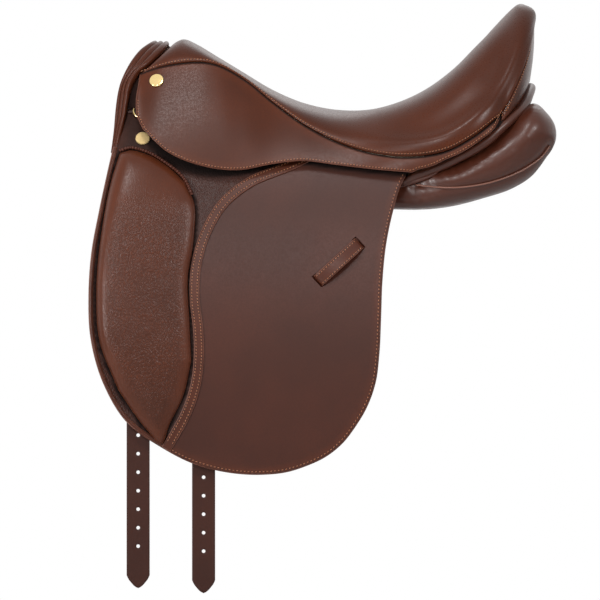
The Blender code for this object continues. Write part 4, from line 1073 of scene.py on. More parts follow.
def cantle_edges(count):
    """The seat's rear edge from near to off, the level outward direction there, and the facing's hem."""
    cover = seat_grid(np.linspace(CORNER_SHARE, 1, count + 1))
    outs = grid_normals(cover)[:, 0] * (1, 1, 0)
    outs[-1] = outs[-2] * (1, 0, 0)
    outs /= np.linalg.norm(outs, axis=1)[:, None]
    top = np.concatenate((cover[:, 0], (cover[:-1, 0] * (1, -1, 1))[::-1]))
    outs = np.concatenate((outs, (outs[:-1] * (1, -1, 1))[::-1]))
    return top, outs, np.array(over(CANTLE_HEM).samples(2 * count))


def make_cantle():
    """The leather facing on the back of the cantle, stitched round its border."""
    top, lean, hem = cantle_edges(30)
    along = np.gradient(hem, axis=0)
    down = hem - top
    outs = np.cross(along, -down)
    outs /= np.linalg.norm(outs, axis=1)[:, None]
    outs[outs[:, 0] < 0] *= -1
    grid, thick = [], []
    for t in np.linspace(0, 1, 17):
        turned = lean * (1 - t) + outs * t
        turned /= np.linalg.norm(turned, axis=1)[:, None]
        rise = math.sin(math.pi * t) * CANTLE_BULGE * np.minimum(np.linalg.norm(down, axis=1) / 0.05, 1)
        grid.append(hem - down * (1 - t) + turned * rise[:, None])
        thick.append(turned)
    welt = np.array(over(WELT_LINE[WELT_BACK_FROM:]).samples(len(hem) - 1))
    for share, tuck in CANTLE_TUCKS:
        grid.append(hem + (welt - hem) * share - outs * tuck)
        thick.append(outs)
    grid, thick = np.array(grid).transpose(1, 0, 2), np.array(thick).transpose(1, 0, 2)
    distance = edge_distance(grid, ("first", "last"))
    outer = grid - thick * rolled(distance, CANTLE_ROLL)[:, :, None]
    facing = shell("cantle_back", outer, grid - thick * CANTLE_LEATHER, finish("seat leather"), edge=distance)
    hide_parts("cantle_facing")
    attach(facing, "root")
    rows = [at_depth(grid, thick, CANTLE_STITCH_IN),
            at_depth(grid[:, ::-1], thick[:, ::-1], CANTLE_STITCH_IN)]
    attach(sew("cantle_stitching", rows, bpy.context.scene.saddle_sizes.skirt_pitch), "root")


def make_welt():
    """The thick piped welt between the cantle and the panels, with a thin fold under its ends."""
    forward, inward, up = WELT_SHIFT
    line = [point + Vector((forward, -math.copysign(min(abs(point.y), inward), point.y), up))
            for point in over(WELT_LINE).samples(150)]
    welt = tube("rear_piped_welt", line, WELT_RADIUS, finish("panel leather"), sides=20)
    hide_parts("rear_welt")
    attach(welt, "root")
    for side, sign in SIDES:
        line = [Vector((x, sign * y, z)) for x, y, z in Curve(FOLD_LINE).samples(40)]
        radii = FOLD_RADIUS * np.sqrt(np.clip(np.linspace(2.2, 0.06, 41), 0, 1))
        fold = tube(side + "_welt_fold", line, radii, finish("panel leather"))
        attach(fold, "root")


def make_pommel():
    """Three round rolls over the head, sewn side by side."""
    outer, inner = (np.array(over(line).samples(120)) for line in (POMMEL_OUTER, POMMEL_INNER))
    along = np.gradient(outer, axis=0)
    across = inner - outer
    outs = np.cross(across, along)
    outs /= np.linalg.norm(outs, axis=1)[:, None]
    swell = np.minimum(np.linalg.norm(across, axis=1) / POMMEL_FULL_WIDTH, 1)
    face, back = [], []
    for t in np.linspace(0, 1, POMMEL_ROLL_COUNT * 14 + 1):
        within_roll = (POMMEL_ROLL_COUNT * t) % 1.0
        ridge = math.sqrt(max(1 - (2 * within_roll - 1) ** 2, 0.0)) if 0 < t < 1 else 0.0
        middle = outer + across * t
        face.append(middle + outs * ((ridge * POMMEL_ROLL_HEIGHT + POMMEL_BASE) * swell)[:, None])
        back.append(middle - outs * (POMMEL_BACK * swell)[:, None])
    face, back = (np.array(g).transpose(1, 0, 2) for g in (face, back))
    rolls = shell("pommel_piped_rolls", face, back, finish("seat leather"))
    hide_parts("pommel_rolls")
    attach(rolls, "root")


def make_pommel_shade_sheet():
    """A dark leather sheet under painted shade, seen between the rolls and the skirts of the head."""
    line = np.array(over(POMMEL_INNER).samples(80))
    line = line[line[:, 2] > SHADE_SHEET_FROM_LEVEL]
    tuck = np.sign(line[:, 1]) * np.minimum(np.abs(line[:, 1]), SHADE_SHEET_TUCK)
    front = line - np.stack((tuck * 0, tuck, tuck * 0), axis=1)
    grid = []
    for t in np.linspace(0, 1, 5):
        row = front.copy()
        row[:, 0] = line[:, 0] + (SHADE_SHEET_REAR - line[:, 0]) * t
        row[:, 2] -= 0.004 * t
        grid.append(row)
    grid = np.array(grid).transpose(1, 0, 2)
    outs = grid_normals(grid)
    middle = len(line) // 2
    if outs[middle, 2, 2] < 0:
        outs = -outs
    shade_sheet = shell("pommel_shade_sheet", grid, grid - outs * SHADE_SHEET_LEATHER, finish("bridle leather"))
    # Painted shade over the whole sheet
    count = len(shade_sheet.data.vertices)
    shade = shade_sheet.data.attributes.new("painted_shade", "FLOAT", "POINT")
    shade.data.foreach_set("value", np.full(count, SHADE_SHEET_PAINTED_SHADE, np.float32))
    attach(shade_sheet, "root")


# The side pieces

# Painted shade on the skirt under the seat's edge: full down to the first distance below the seam, gone by
# the second
SEAM_SHADE = (0.0020, 0.0042)
SKIRT_ROLL = 0.0016
SKIRT_BEND = 0.010
FLAP_ROLL = 0.0018
FLAP_BEND = (0.012, 0.004)
SLOT_DEPTH = 0.0022
SLOT_HALF_WIDTH = 0.0032
BLOCK_GROOVE = 0.0012
# The painted shade under the skirt's hem: its reach, and how much further it reaches round its middle
HEM_SHADE_REACH = (0.0070, 0.0110)
HEM_SHADE_AT = (-0.182, 0.048)
DEE_SHADE = 0.58
STRIP_WIDTH = 0.012
STRIP_LEATHER = 0.0016
STRIP_ROW_AT = 0.27
RIM_WIDTH = 0.005
RIM_LEATHER = 0.0026
KEEPER_RISE = 0.0070
KEEPER_LEATHER = 0.0018
KEEPER_ROLL = 0.0010
SWEAT_ROLL = 0.0012
CORNER_SHADE_SHEET_DEPTH = 0.0052
CORNER_SHADE_SHEET_LEATHER = 0.0015
CORNER_PATCH = ((100, 8), (125, 13), (160, 33), (182, 50), (192, 58), (197, 52), (191, 41), (167, 22.5),
                (143, 7), (119, -4), (100, -10))


def painted_seam_shade(x, z):
    """Painted shade on the skirt in the groove under the seat's edge."""
    return 1 - ease(np.interp(x, SEAM[:, 2], SEAM[:, 4]) - z, *SEAM_SHADE)


def make_corner_shade_sheet(side, sign):
    """A dark leather sheet under painted shade behind the skirt's narrow rear strip."""
    outline = trace(*zip(CORNER_PATCH, CORNER_PATCH[1:] + CORNER_PATCH[:1]), step=0.004)
    shade_sheet = leather_piece(side + "_corner_shade_sheet", sign, outline,
                           lambda x, z, d, s: skirt_half(x, z) - CORNER_SHADE_SHEET_DEPTH,
                           lambda x, z, d, s: skirt_half(x, z) - (CORNER_SHADE_SHEET_DEPTH
                                                                  + CORNER_SHADE_SHEET_LEATHER), 0.0005,
                           finish("bridle leather"), extra={"painted_shade": lambda x, z: 0.9 + 0 * x})
    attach(shade_sheet, "root")


def make_skirt(side, sign):
    """The skirt, from the seat's seam to its hem, and its row of stitches."""
    seam = [(x / MM, z / MM - 1.2) for x, z in SEAM[:-1:4, [2, 4]]] + [(199.5, 66.5)]
    outline = trace(seam, (seam[-1], SKIRT_STRIP[-1]), SKIRT_STRIP[::-1], (SKIRT_STRIP[0], SKIRT_HEM[-1]),
                    SKIRT_HEM[::-1], SKIRT_FRONT[::-1], (SKIRT_FRONT[0], seam[0]))
    skirt = leather_piece(side + "_skirt_leather", sign, outline,
                          lambda x, z, d, s: skirt_half(x, z),
                          lambda x, z, d, s: skirt_half(x, z) - SKIRT_LEATHER,
                          SKIRT_ROLL, finish("skirt leather"), extra={"painted_shade": painted_seam_shade})
    bend(skirt, side + "_skirt", SKIRT_BEND, SKIRT_BEND)
    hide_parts(side + "_skirt", side + "_skirt_top")
    sizes = bpy.context.scene.saddle_sizes
    hem = part_of(stitch_line(outline, sizes.skirt_stitch_in), (-240, 70), (196, 60))
    stitches = sew(side + "_skirt_stitching", [on_side(hem, sign, skirt_half)], sizes.skirt_pitch)
    bend(stitches, side + "_skirt", SKIRT_BEND, SKIRT_BEND)


def stitch_line(outline, depth):
    """The line a depth inside an outline, without the loops that its corners make."""
    inside = ring_inside(outline, depth)
    return inside[measure(inside, [outline])[0] > 0.9 * depth]


def strip_region():
    """The part of the flap in front of the facing strip, as a closed line."""
    line = [tuple(p / MM) for p in Curve(STRIP_LINE).samples(60)]
    return np.array([*line, (-212, -400), (-400, -400), (-400, 120), (-50, 120)]) * MM


def keeper_axes():
    """The keeper's centre, and the directions along and across it."""
    along = np.array((math.cos(KEEPER_SLOPE), math.sin(KEEPER_SLOPE)))
    return np.array(KEEPER_CENTRE), along, np.array((-along[1], along[0]))


def keeper_slots():
    """The two narrow slots that the keeper's ends go into."""
    centre, along, across = keeper_axes()
    slots = []
    for end in (-1, 1):
        middle = centre + along * end * (KEEPER_LENGTH / 2 - 0.001)
        corners = [(-1, -1), (-1, 1), (1, 1), (1, -1)]
        ring = [middle + along * a * SLOT_HALF_WIDTH + across * b * (KEEPER_WIDTH / 2 + 0.0009)
                for a, b in corners]
        line = np.concatenate([np.linspace(p, q, 9)[:-1] for p, q in zip(ring, ring[1:] + ring[:1])])
        slots.append(line)
    return slots


def make_flap(side, sign):
    """The flap, let in under the keeper and given painted shade where other pieces lie on it, and its
    stitches.
    """
    outline = flap_outline()
    slots = keeper_slots()
    region = strip_region()

    block = block_outline()
    hem = np.array([tuple(p) for p in Curve(SKIRT_FRONT + SKIRT_HEM[1:]).samples(120)])
    under = np.concatenate((hem, [(0.30, -0.015), (0.30, 0.2), (-0.30, 0.2), (-0.30, 0.075)]))

    def painted_shade(x, z):
        """Painted shade on the flap: beside the block, in the skirt's shadow under its hem, and behind the
        dee.
        """
        flat = np.stack((x, z), axis=1)
        beside = 1 - ease(measure(flat, [block])[0], 0.0018, 0.0042)
        gap = measure(flat, [under])[0] * np.where(within(flat, under), 0, 1)
        reach = HEM_SHADE_REACH[0] + HEM_SHADE_REACH[1] * bump(x, *HEM_SHADE_AT)
        covered = (1 - ease(gap, 0.45 * reach, reach)) * ease(x, -0.242, -0.226)
        behind_dee = DEE_SHADE * ease(z, 0.002, 0.016)
        return np.clip(np.maximum(np.maximum(beside, covered), behind_dee), 0, 1)

    def grained(x, z):
        inside = within(np.stack((x, z), axis=1), region)
        return inside * (1 - ease(z, 0.000, 0.012))

    def outer(x, z, distance, along):
        flat = np.stack((x, z), axis=1)
        sunk = np.zeros(len(x))
        for slot in slots:
            depth = measure(flat, [slot])[0]
            sunk = np.maximum(sunk, within(flat, slot) * np.clip(depth / 0.0008, 0, 1))
        beside = 1 - ease(measure(flat, [block])[0], 0.0012, 0.0040)
        groove = BLOCK_GROOVE * beside * ease(distance, 0.004, 0.007)
        return flap_half(x, z) - SLOT_DEPTH * sunk - groove

    flap = leather_piece(side + "_flap_leather", sign, outline, outer,
                         lambda x, z, d, s: flap_half(x, z) - FLAP_LEATHER, FLAP_ROLL,
                         finish("flap leather"), marks=slots, extra={"grained": grained, "painted_shade": painted_shade})
    bend(flap, side + "_flap", *FLAP_BEND)
    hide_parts(side + "_flap", side + "_flap_top")
    sizes = bpy.context.scene.saddle_sizes
    edge = part_of(stitch_line(outline, sizes.flap_stitch_in), (-250, -310), (80, -20))
    stitches = sew(side + "_flap_stitching", [on_side(edge, sign, flap_half)], sizes.flap_pitch)
    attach(stitches, side + "_flap")


def flap_outline():
    """The flap's pattern: its upper edge, rear, bottom and front."""
    return trace(FLAP_TOP_UPPER, (FLAP_TOP_UPPER[-1], FLAP_REAR[0]),
                 FLAP_REAR + FLAP_BOTTOM[-2::-1] + FLAP_FRONT[-2::-1], FLAP_TOP_FRONT)


def block_outline():
    """The knee block's pattern."""
    return trace(BLOCK_TOP, BLOCK_REAR, BLOCK_BOTTOM[::-1], BLOCK_FRONT[::-1])


def trimmed(line, depth):
    """A line drawn back to a depth inside the flap's edge where it runs over it."""
    border = ring_inside(flap_outline(), depth)
    along = measure(line, [border])[1]
    closed = np.concatenate((border, border[:1]))
    place = np.concatenate(([0.0], np.cumsum(np.hypot(*np.diff(closed, axis=0).T))))
    nearest = np.stack([np.interp(along, place, closed[:, k]) for k in range(2)], axis=1)
    return np.where(within(line, border)[:, None], line, nearest)


def make_strip(side, sign):
    """The double-stitched facing strip behind the knee block."""
    outline = trimmed(strap_outline(STRIP_LINE, STRIP_WIDTH), 0.0012)
    lift = SURFACE_GAP + STRIP_LEATHER
    strip = leather_piece(side + "_facing_strip", sign, outline,
                          lambda x, z, d, s: flap_half(x, z) + lift,
                          lambda x, z, d, s: flap_half(x, z) + SURFACE_GAP, 0.0010, finish("strap leather"),
                          step=0.003)
    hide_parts(side + "_flap_facing")
    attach(strip, side + "_flap")
    rows = []
    for shift in (-STRIP_ROW_AT, STRIP_ROW_AT):
        line = np.array([beside_line(STRIP_LINE, share, STRIP_WIDTH, shift)
                         for share in np.linspace(0.01, 0.955, 90)])
        points, outs = on_side(line, sign, flap_half)
        rows.append((points + outs * lift, outs))
    stitches = sew(side + "_strip_stitching", rows, bpy.context.scene.saddle_sizes.skirt_pitch)
    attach(stitches, side + "_flap")


def beside_line(line, share, width, shift):
    """A point beside a line of pattern points, shifted by a part of a strap's width."""
    curve = Curve(line)
    ahead = curve.at(min(share + 0.01, 1.0)) - curve.at(max(share - 0.01, 0.0))
    across = Vector((-ahead[1], ahead[0])).normalized() * width
    return tuple(curve.at(share) * MM + across * shift)


def make_rim(side, sign):
    """The raised binding down the flap's front edge."""
    outline = strap_outline(FLAP_FRONT + FLAP_BOTTOM[1:2], RIM_WIDTH, 0.60)
    rim = leather_piece(side + "_front_rim", sign, outline,
                        lambda x, z, d, s: flap_half(x, z) + SURFACE_GAP + RIM_LEATHER,
                        lambda x, z, d, s: flap_half(x, z) + SURFACE_GAP, 0.0024, finish("strap leather"),
                        step=0.002)
    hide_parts(side + "_flap_rim")
    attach(rim, side + "_flap")


def make_keeper(side, sign):
    """The slanted strap loop that holds the stirrup leather, let into two slots."""
    centre, along, across = keeper_axes()
    p = np.linspace(-1, 1, 61)[:, None, None]
    q = np.linspace(-1, 1, 21)[None, :, None]
    flat = centre + along * p * KEEPER_LENGTH / 2 + across * q * KEEPER_WIDTH / 2
    x, z = flat[..., 0], flat[..., 1]
    lift = KEEPER_RISE * np.sin(math.pi * (p[..., 0] + 1) / 2) ** 0.6 - 0.0012 * np.abs(p[..., 0]) ** 14
    inside = (1 - np.abs(q[..., 0])) * KEEPER_WIDTH / 2 + 0 * x
    outer = flap_half(x, z) + SURFACE_GAP + lift + KEEPER_LEATHER - rolled(inside, KEEPER_ROLL)
    inner = flap_half(x, z) + SURFACE_GAP + lift + 0 * x
    loop = shell(side + "_stirrup_leather_keeper", np.stack((x, sign * outer, z), axis=2),
                 np.stack((x, sign * inner, z), axis=2), finish("strap leather"), edge=inside)
    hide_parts(side + "_keeper")
    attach(loop, side + "_flap")
    normals = grid_normals(np.stack((x, sign * outer, z), axis=2))
    normals *= np.sign(normals[..., 1:2]) * sign
    rows = []
    for column in (3, -4):
        rows.append((np.stack((x, sign * outer, z), axis=2)[3:-3, column], normals[3:-3, column]))
    stitches = sew(side + "_keeper_stitching", rows, bpy.context.scene.saddle_sizes.skirt_pitch)
    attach(stitches, side + "_flap")


def make_sweat_flap(side, sign):
    """The under-flap between the billets and the panel."""
    top, bottom, front, rear = (Curve(edge) for edge in (FLAP_SPLIT, FLAP_BOTTOM, FLAP_FRONT, FLAP_REAR))

    def place(u, v):
        """A point between the flap's four edges."""
        across = front.at(v) * (1 - u) + rear.at(v) * u
        down = top.at(u) * (1 - v) + bottom.at(u) * v
        corners = (top.at(0) * (1 - u) + top.at(1) * u) * (1 - v)
        return tuple(across + down - corners - (bottom.at(0) * (1 - u) + bottom.at(1) * u) * v)

    low, high = 1 / 12, 11 / 12
    steps = np.linspace(low, high, 12)
    outline = trace(SWEAT_TOP, (SWEAT_TOP[-1], place(high, low)), [place(high, v) for v in steps],
                    [place(u, high) for u in steps[::-1]], [place(low, v) for v in steps[::-1]],
                    (place(low, low), SWEAT_TOP[0]), step=0.003)
    under = leather_piece(side + "_sweat_flap_leather", sign, outline,
                          lambda x, z, d, s: flap_half(x, z) - SWEAT_DEPTH,
                          lambda x, z, d, s: flap_half(x, z) - SWEAT_DEPTH - SWEAT_LEATHER,
                          SWEAT_ROLL, finish("skirt leather"), step=0.006)
    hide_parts(side + "_sweat_flap")
    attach(under, "root")


# The padded pieces

BLOCK_RISE = 0.024
BLOCK_EDGE = 0.0035
BLOCK_LIFT = 0.0008
BLOCK_ROLL = 0.0006
BLOCK_ROUNDING = (0.0058, 0.0008)
# Levels at which the block's two ends start, how fast they rise and the share they start from
BLOCK_HEAD = (14, 70, 0.62)
BLOCK_TAIL = (-338, 150, 0.25)
CORD_RADIUS = 0.0018
CORD_LIFT = 0.0036
CORD_GATHER = 0.0004
FLOCKING_PRESSURE = 3.0
FLOCKING_FRAMES = 20
PANEL_SIDES = 64
PANEL_BLEND = 0.0025
PANEL_SOFTNESS = 0.010
LUMPS = ((0.0020, 0.034), (0.0004, 0.015))
GATHER_HEIGHT = 0.0011
GATHER_REACH = 0.013
GATHER_WAVES = 0.36
PILLOW_HEIGHT = 0.0044
PILLOW_REACH = 0.020
PINCH_DEPTH = 0.0018
PINCH_REACH = 0.0045
PIPING_RADIUS = 0.0011
PIPING_LIFT = 0.0009


def plump(obj, swell, voxel=0.0045, reach=0.006):
    """Blow a closed soft piece up a little with the cloth solver, as its flocking does."""
    remesh = obj.modifiers.new("even mesh", "REMESH")
    remesh.mode = "VOXEL"
    remesh.voxel_size = voxel
    remesh.use_smooth_shade = True
    settle(obj)
    rest = np.array([v.co for v in obj.data.vertices])
    cloth = obj.modifiers.new("flocking", "CLOTH")
    cloth.settings.use_pressure = True
    cloth.settings.uniform_pressure_force = swell
    cloth.settings.tension_stiffness = 12
    cloth.settings.compression_stiffness = 12
    cloth.settings.bending_stiffness = 0.6
    cloth.settings.effector_weights.gravity = 0
    cloth.settings.quality = 6
    cloth.point_cache.frame_start = 1
    cloth.point_cache.frame_end = FLOCKING_FRAMES
    for number in range(1, FLOCKING_FRAMES + 1):
        bpy.context.scene.frame_set(number)
    evaluated = obj.evaluated_get(bpy.context.evaluated_depsgraph_get())
    moved = np.array([v.co for v in evaluated.data.vertices]) - rest
    obj.modifiers.clear()
    bpy.context.scene.frame_set(1)
    far = np.linalg.norm(moved, axis=1)
    moved *= np.minimum(reach / np.maximum(far, 1e-9), 1.0)[:, None]
    obj.data.vertices.foreach_set("co", (rest + moved).astype(np.float32).ravel())
    smooth = obj.modifiers.new("finer", "SUBSURF")
    smooth.levels = smooth.render_levels = 1
    settle(obj)
    obj.data.shade_smooth()
    obj.data.update()
    return obj


def block_crown(x, z, distance):
    """Height of the knee block: high behind its rolled front edge and falling to the rear."""
    level = z / MM
    front = BLOCK_FRONT[1:] + BLOCK_BOTTOM[1:3]
    rear = BLOCK_REAR[:-1] + BLOCK_BOTTOM[:2:-1]
    front_x = np.interp(-level, [-p[1] for p in front], [p[0] for p in front])
    rear_x = np.interp(-level, [-p[1] for p in rear], [p[0] for p in rear])
    u = np.clip((x / MM - front_x) / np.maximum(rear_x - front_x, 1), 0, 1)
    fall = np.cos(math.pi / 2 * np.clip((u - 0.10) / 0.90, 0, 1))
    ends = 1.0
    for (start, rise, least), way in ((BLOCK_HEAD, -1), (BLOCK_TAIL, 1)):
        share = np.clip((level - start) * way / rise, 0, 1)
        ends = ends * (least + (1 - least) * np.sin(math.pi / 2 * share))
    height = BLOCK_EDGE + (BLOCK_RISE - BLOCK_EDGE) * ends * (0.20 + 0.80 * fall)
    radius = BLOCK_ROUNDING[0] - BLOCK_ROUNDING[1] * np.clip(u * 1.6, 0, 1)
    edge = np.sqrt(1 - np.exp(-distance / radius))
    return SURFACE_GAP + BLOCK_LIFT + (height - BLOCK_LIFT) * edge


def block_grain(x, z):
    """The grain is drawn smooth over the block's top and front edge."""
    distance = measure(np.stack((x, z), axis=1), [block_outline()])[0]
    return (1 - 0.85 * ease(z, -0.085, -0.020)) * (0.25 + 0.75 * ease(distance, 0.004, 0.018))


def make_knee_block(side, sign):
    """The padded knee block on the flap, with a gathered cord over its top."""
    outline = block_outline()
    block = leather_piece(side + "_knee_roll", sign, outline,
                          lambda x, z, d, s: flap_half(x, z) + block_crown(x, z, d),
                          lambda x, z, d, s: flap_half(x, z) + SURFACE_GAP, BLOCK_ROLL,
                          finish("grained leather"), step=0.003, extra={"grained": block_grain})
    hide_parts(side + "_knee_block")
    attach(block, side + "_flap")
    line = np.array([tuple(p) for p in Curve(BLOCK_TOP + ((-176, -44),)).samples(150)])
    points, outs = on_side(line + (0.0, 0.0012), sign, flap_half)
    step = np.arange(len(points))
    gather = np.sin(step * 1.45 + np.sin(step * 0.37)) * CORD_GATHER
    cord = tube(side + "_knee_roll_welt", points + outs * (CORD_LIFT + gather)[:, None], CORD_RADIUS + gather,
                finish("bridle leather"))
    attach(cord, side + "_flap")


def panel_ring(x, count):
    """Cross-section of the panel at one x in pattern units: half widths and heights round it."""
    low, high = 0.0, 1.0
    for _ in range(30):
        share = (low + high) / 2
        low, high = (share, high) if PANEL.at(share)[0] < x else (low, share)
    _, half, level, length, depth, tilt = PANEL.at(low)
    tilt = math.radians(tilt)
    back = (x - PANEL_SECTIONS[0][0]) / (PANEL_SECTIONS[-1][0] - PANEL_SECTIONS[0][0])
    roundness = PANEL_ROUNDNESS_FRONT + (PANEL_ROUNDNESS_REAR - PANEL_ROUNDNESS_FRONT) * back
    angle = math.tau * np.arange(count) / count
    u = np.sign(np.cos(angle)) * np.abs(np.cos(angle)) ** roundness * length
    v = np.sign(np.sin(angle)) * np.abs(np.sin(angle)) ** roundness * depth
    y = (half + u * math.cos(tilt) + v * math.sin(tilt)) * MM
    z = (level - u * math.sin(tilt) + v * math.cos(tilt)) * MM
    return np.stack((np.full(count, x * MM), under_flap(x * MM, y, z), z), axis=1)


def under_flap(x, y, z):
    """Half widths of the panel, drawn in softly where the under-flap lies on it."""
    free = PANEL_SOFTNESS * np.log1p(np.exp((x - PANEL_FREE_FROM * MM) / PANEL_SOFTNESS)) * PANEL_FREE_RATE
    limit = flap_half(x, z) - PANEL_DEPTH + free
    return y - PANEL_BLEND * np.log1p(np.exp((y - limit) / PANEL_BLEND))


PILLOW_LINE = ((96, -27), (140, -19), (170, -6), (195, 8), (215, 20), (236, 34))


def even_out(obj, times):
    """Take small dents out of a remeshed piece."""
    smooth = obj.modifiers.new("even", "SMOOTH")
    smooth.factor = 0.5
    smooth.iterations = times
    settle(obj)


def fill_unevenly(panel):
    """Lumps of flocking, the pinch of the piped seam, and gathers running out from under the welt."""
    welt, piping, pillow = (np.array([tuple(p) for p in Curve(line).samples(200)])
                            for line in ([(p[0], p[2]) for p in WELT_LINE[:11]], PIPING_LINE, PILLOW_LINE))
    moved = []
    for vertex in panel.data.vertices:
        place, normal = vertex.co, vertex.normal
        spot = Vector((place.x, place.y * 0.5, place.z))
        lumps = sum(height * noise.noise(spot / size) for height, size in LUMPS)
        lumps *= float(ease(place.z, -0.040, 0.000))
        away, pinch, middle = (np.hypot(line[:, 0] - place.x, line[:, 1] - place.z)
                               for line in (welt, piping, pillow))
        nearest = int(np.argmin(away))
        waves = math.sin(nearest * GATHER_WAVES + 2.5 * noise.noise(spot / 0.030))
        gathers = GATHER_HEIGHT * waves * math.exp(-float(away[nearest]) / GATHER_REACH)
        gathers *= 1 - float(ease(nearest, 140, 192))
        outside = float(ease(math.copysign(normal.y, normal.y * place.y), -0.60, 0.20))
        shape = PILLOW_HEIGHT * float(bump(middle.min(), 0, PILLOW_REACH))
        shape -= PINCH_DEPTH * float(bump(pinch.min(), 0, PINCH_REACH))
        move = (lumps + gathers) * float(ease(place.x, 0.03, 0.10)) + shape * outside
        moved.append(place + normal * move)
    panel.data.vertices.foreach_set("co", np.array(moved, np.float32).ravel())
    panel.data.update()


def make_panels():
    """The flocked panels: one is blown up, and the other is its mirror image."""
    stations = np.concatenate((np.linspace(-252, 246, 110), np.linspace(247.5, 255, 8)))
    rings = np.array([panel_ring(x, PANEL_SIDES) for x in stations])
    rings[..., 1] *= -1
    verts = rings.reshape(-1, 3)
    rows, columns = rings.shape[:2]
    faces = ring_faces(rows, columns)
    faces += [tuple(range(columns)), tuple(range((rows - 1) * columns, rows * columns))]
    near = new_piece("near_flocked_panel", verts, faces, finish("panel leather"))
    tidy(near)
    plump(near, FLOCKING_PRESSURE)
    held = np.array([v.co for v in near.data.vertices])
    held[:, 1] = -under_flap(held[:, 0], -held[:, 1], held[:, 2])
    near.data.vertices.foreach_set("co", held.astype(np.float32).ravel())
    near.data.update()
    even_out(near, 4)
    fill_unevenly(near)
    even_out(near, 1)
    off = near.copy()
    off.data = near.data.copy()
    off.name = off.data.name = "off_flocked_panel"
    bpy.context.scene.collection.objects.link(off)
    off.data.transform(Matrix.Diagonal((1, -1, 1, 1)))
    off.data.flip_normals()
    for side, panel in (("near", near), ("off", off)):
        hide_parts(side + "_panel")
        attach(panel, "root")
    make_piping(near)


def make_piping(near):
    """The thin cord along the seam of the panel's gusset, laid on the finished panel, pale with a painted
    highlight.
    """
    line = []
    for point in Curve(PIPING_LINE).samples(60):
        hit, place, normal, _ = near.ray_cast(Vector((point[0], -0.3, point[1])), Vector((0, 1, 0)))
        if hit:
            line.append(place + normal * PIPING_LIFT)
    for side, flip in (("near", 1), ("off", -1)):
        cord = tube(side + "_gusset_piping", [Vector((p.x, p.y * flip, p.z)) for p in line], PIPING_RADIUS,
                    finish("piping leather with painted highlight"), sides=12)
        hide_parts(side + "_panel_piping")
        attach(cord, "root")


# The billets

BILLET_WIDTH = 0.0275
BILLET_ROLL = 0.0009
HOLE_COUNT = 8
HOLE_PITCH = 0.022
HOLE_RADIUS = 0.0021
FIRST_HOLE = 0.050
# The strap's point: share of its half width, and share of the way down
BILLET_TIP = ((1, 0), (0.86, 0.28), (0.62, 0.56), (0.30, 0.86), (0, 1), (-0.30, 0.86), (-0.62, 0.56),
              (-0.86, 0.28), (-1, 0))


def make_billet(side, sign, place, x, tip):
    """A girth strap with a crease round its border and eight punched holes."""
    half = BILLET_WIDTH / 2
    shoulder = tip + BILLET_POINT
    point = [((x + half * w) / MM, (shoulder - BILLET_POINT * d) / MM) for w, d in BILLET_TIP]
    ends = (((x - half) / MM, BILLET_TOP / MM), ((x + half) / MM, BILLET_TOP / MM))
    outline = trace((ends[0], ends[1]), (ends[1], point[0]), point, (point[-1], ends[0]), step=0.003)
    holes = [disc_outline(x, tip + FIRST_HOLE + HOLE_PITCH * k, HOLE_RADIUS, 20)
             for k in range(HOLE_COUNT)]
    billet = leather_piece(f"{side}_{place}_girth_strap", sign, outline,
                           lambda a, b, d, s: billet_half(a, b),
                           lambda a, b, d, s: billet_half(a, b) - BILLET_LEATHER, BILLET_ROLL,
                           finish("bridle leather"), step=0.004, holes=holes)
    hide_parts(f"{side}_{place}_billet")
    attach(billet, f"{side}_{place}_billet")


# The fittings

NAIL_RADIUS = 0.0086
NAIL_RIM_FROM = 0.84
NAIL_SIDES = 56
DEE_CENTRE = (-0.2352, 0.0565)
DEE_RADIUS = 0.0103
DEE_WIRE = 0.0024
DEE_PLAY = 0.0004
DEE_OPENING = math.radians(60)
CHAPE_LEATHER = 0.0016
CHAPE_LENGTH = 0.024
CHAPE_HALF_WIDTH = 0.005
TAB_CORNER = (-252.5, 56.0)
TAB_SIZE = (10.5, 5.5)
TAB_ROLL = 0.0006


def make_nail(name, sign, surface, place):
    """A domed brass nail head with a thin turned rim."""
    profile = [(NAIL_RADIUS * r, 0.0026 - 0.0003 * r**2) for r in np.linspace(0, NAIL_RIM_FROM, 8)]
    profile += [(NAIL_RADIUS * (NAIL_RIM_FROM + (1 - NAIL_RIM_FROM) * math.sin(a)),
                 0.0009 + 0.0015 * math.cos(a)) for a in np.linspace(0.2, math.pi / 2, 7)]
    profile += [(NAIL_RADIUS, 0.0), (0.0, 0.0)]
    turns = [math.tau * k / NAIL_SIDES for k in range(NAIL_SIDES)]
    verts = [(r * math.cos(turn), r * math.sin(turn), h) for r, h in profile for turn in turns]
    # The lower nails take a darker copy of the brass: painted shade for the skirt's shadow over them
    brass = finish("brass in painted shade" if "lower" in name else "brass")
    nail = new_piece(name + "_head", verts, ring_faces(len(profile), NAIL_SIDES), brass)
    nail.data.transform(surface_frame(sign, surface, *place, SURFACE_GAP))
    tidy(nail)
    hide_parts(name)
    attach(nail, "root")


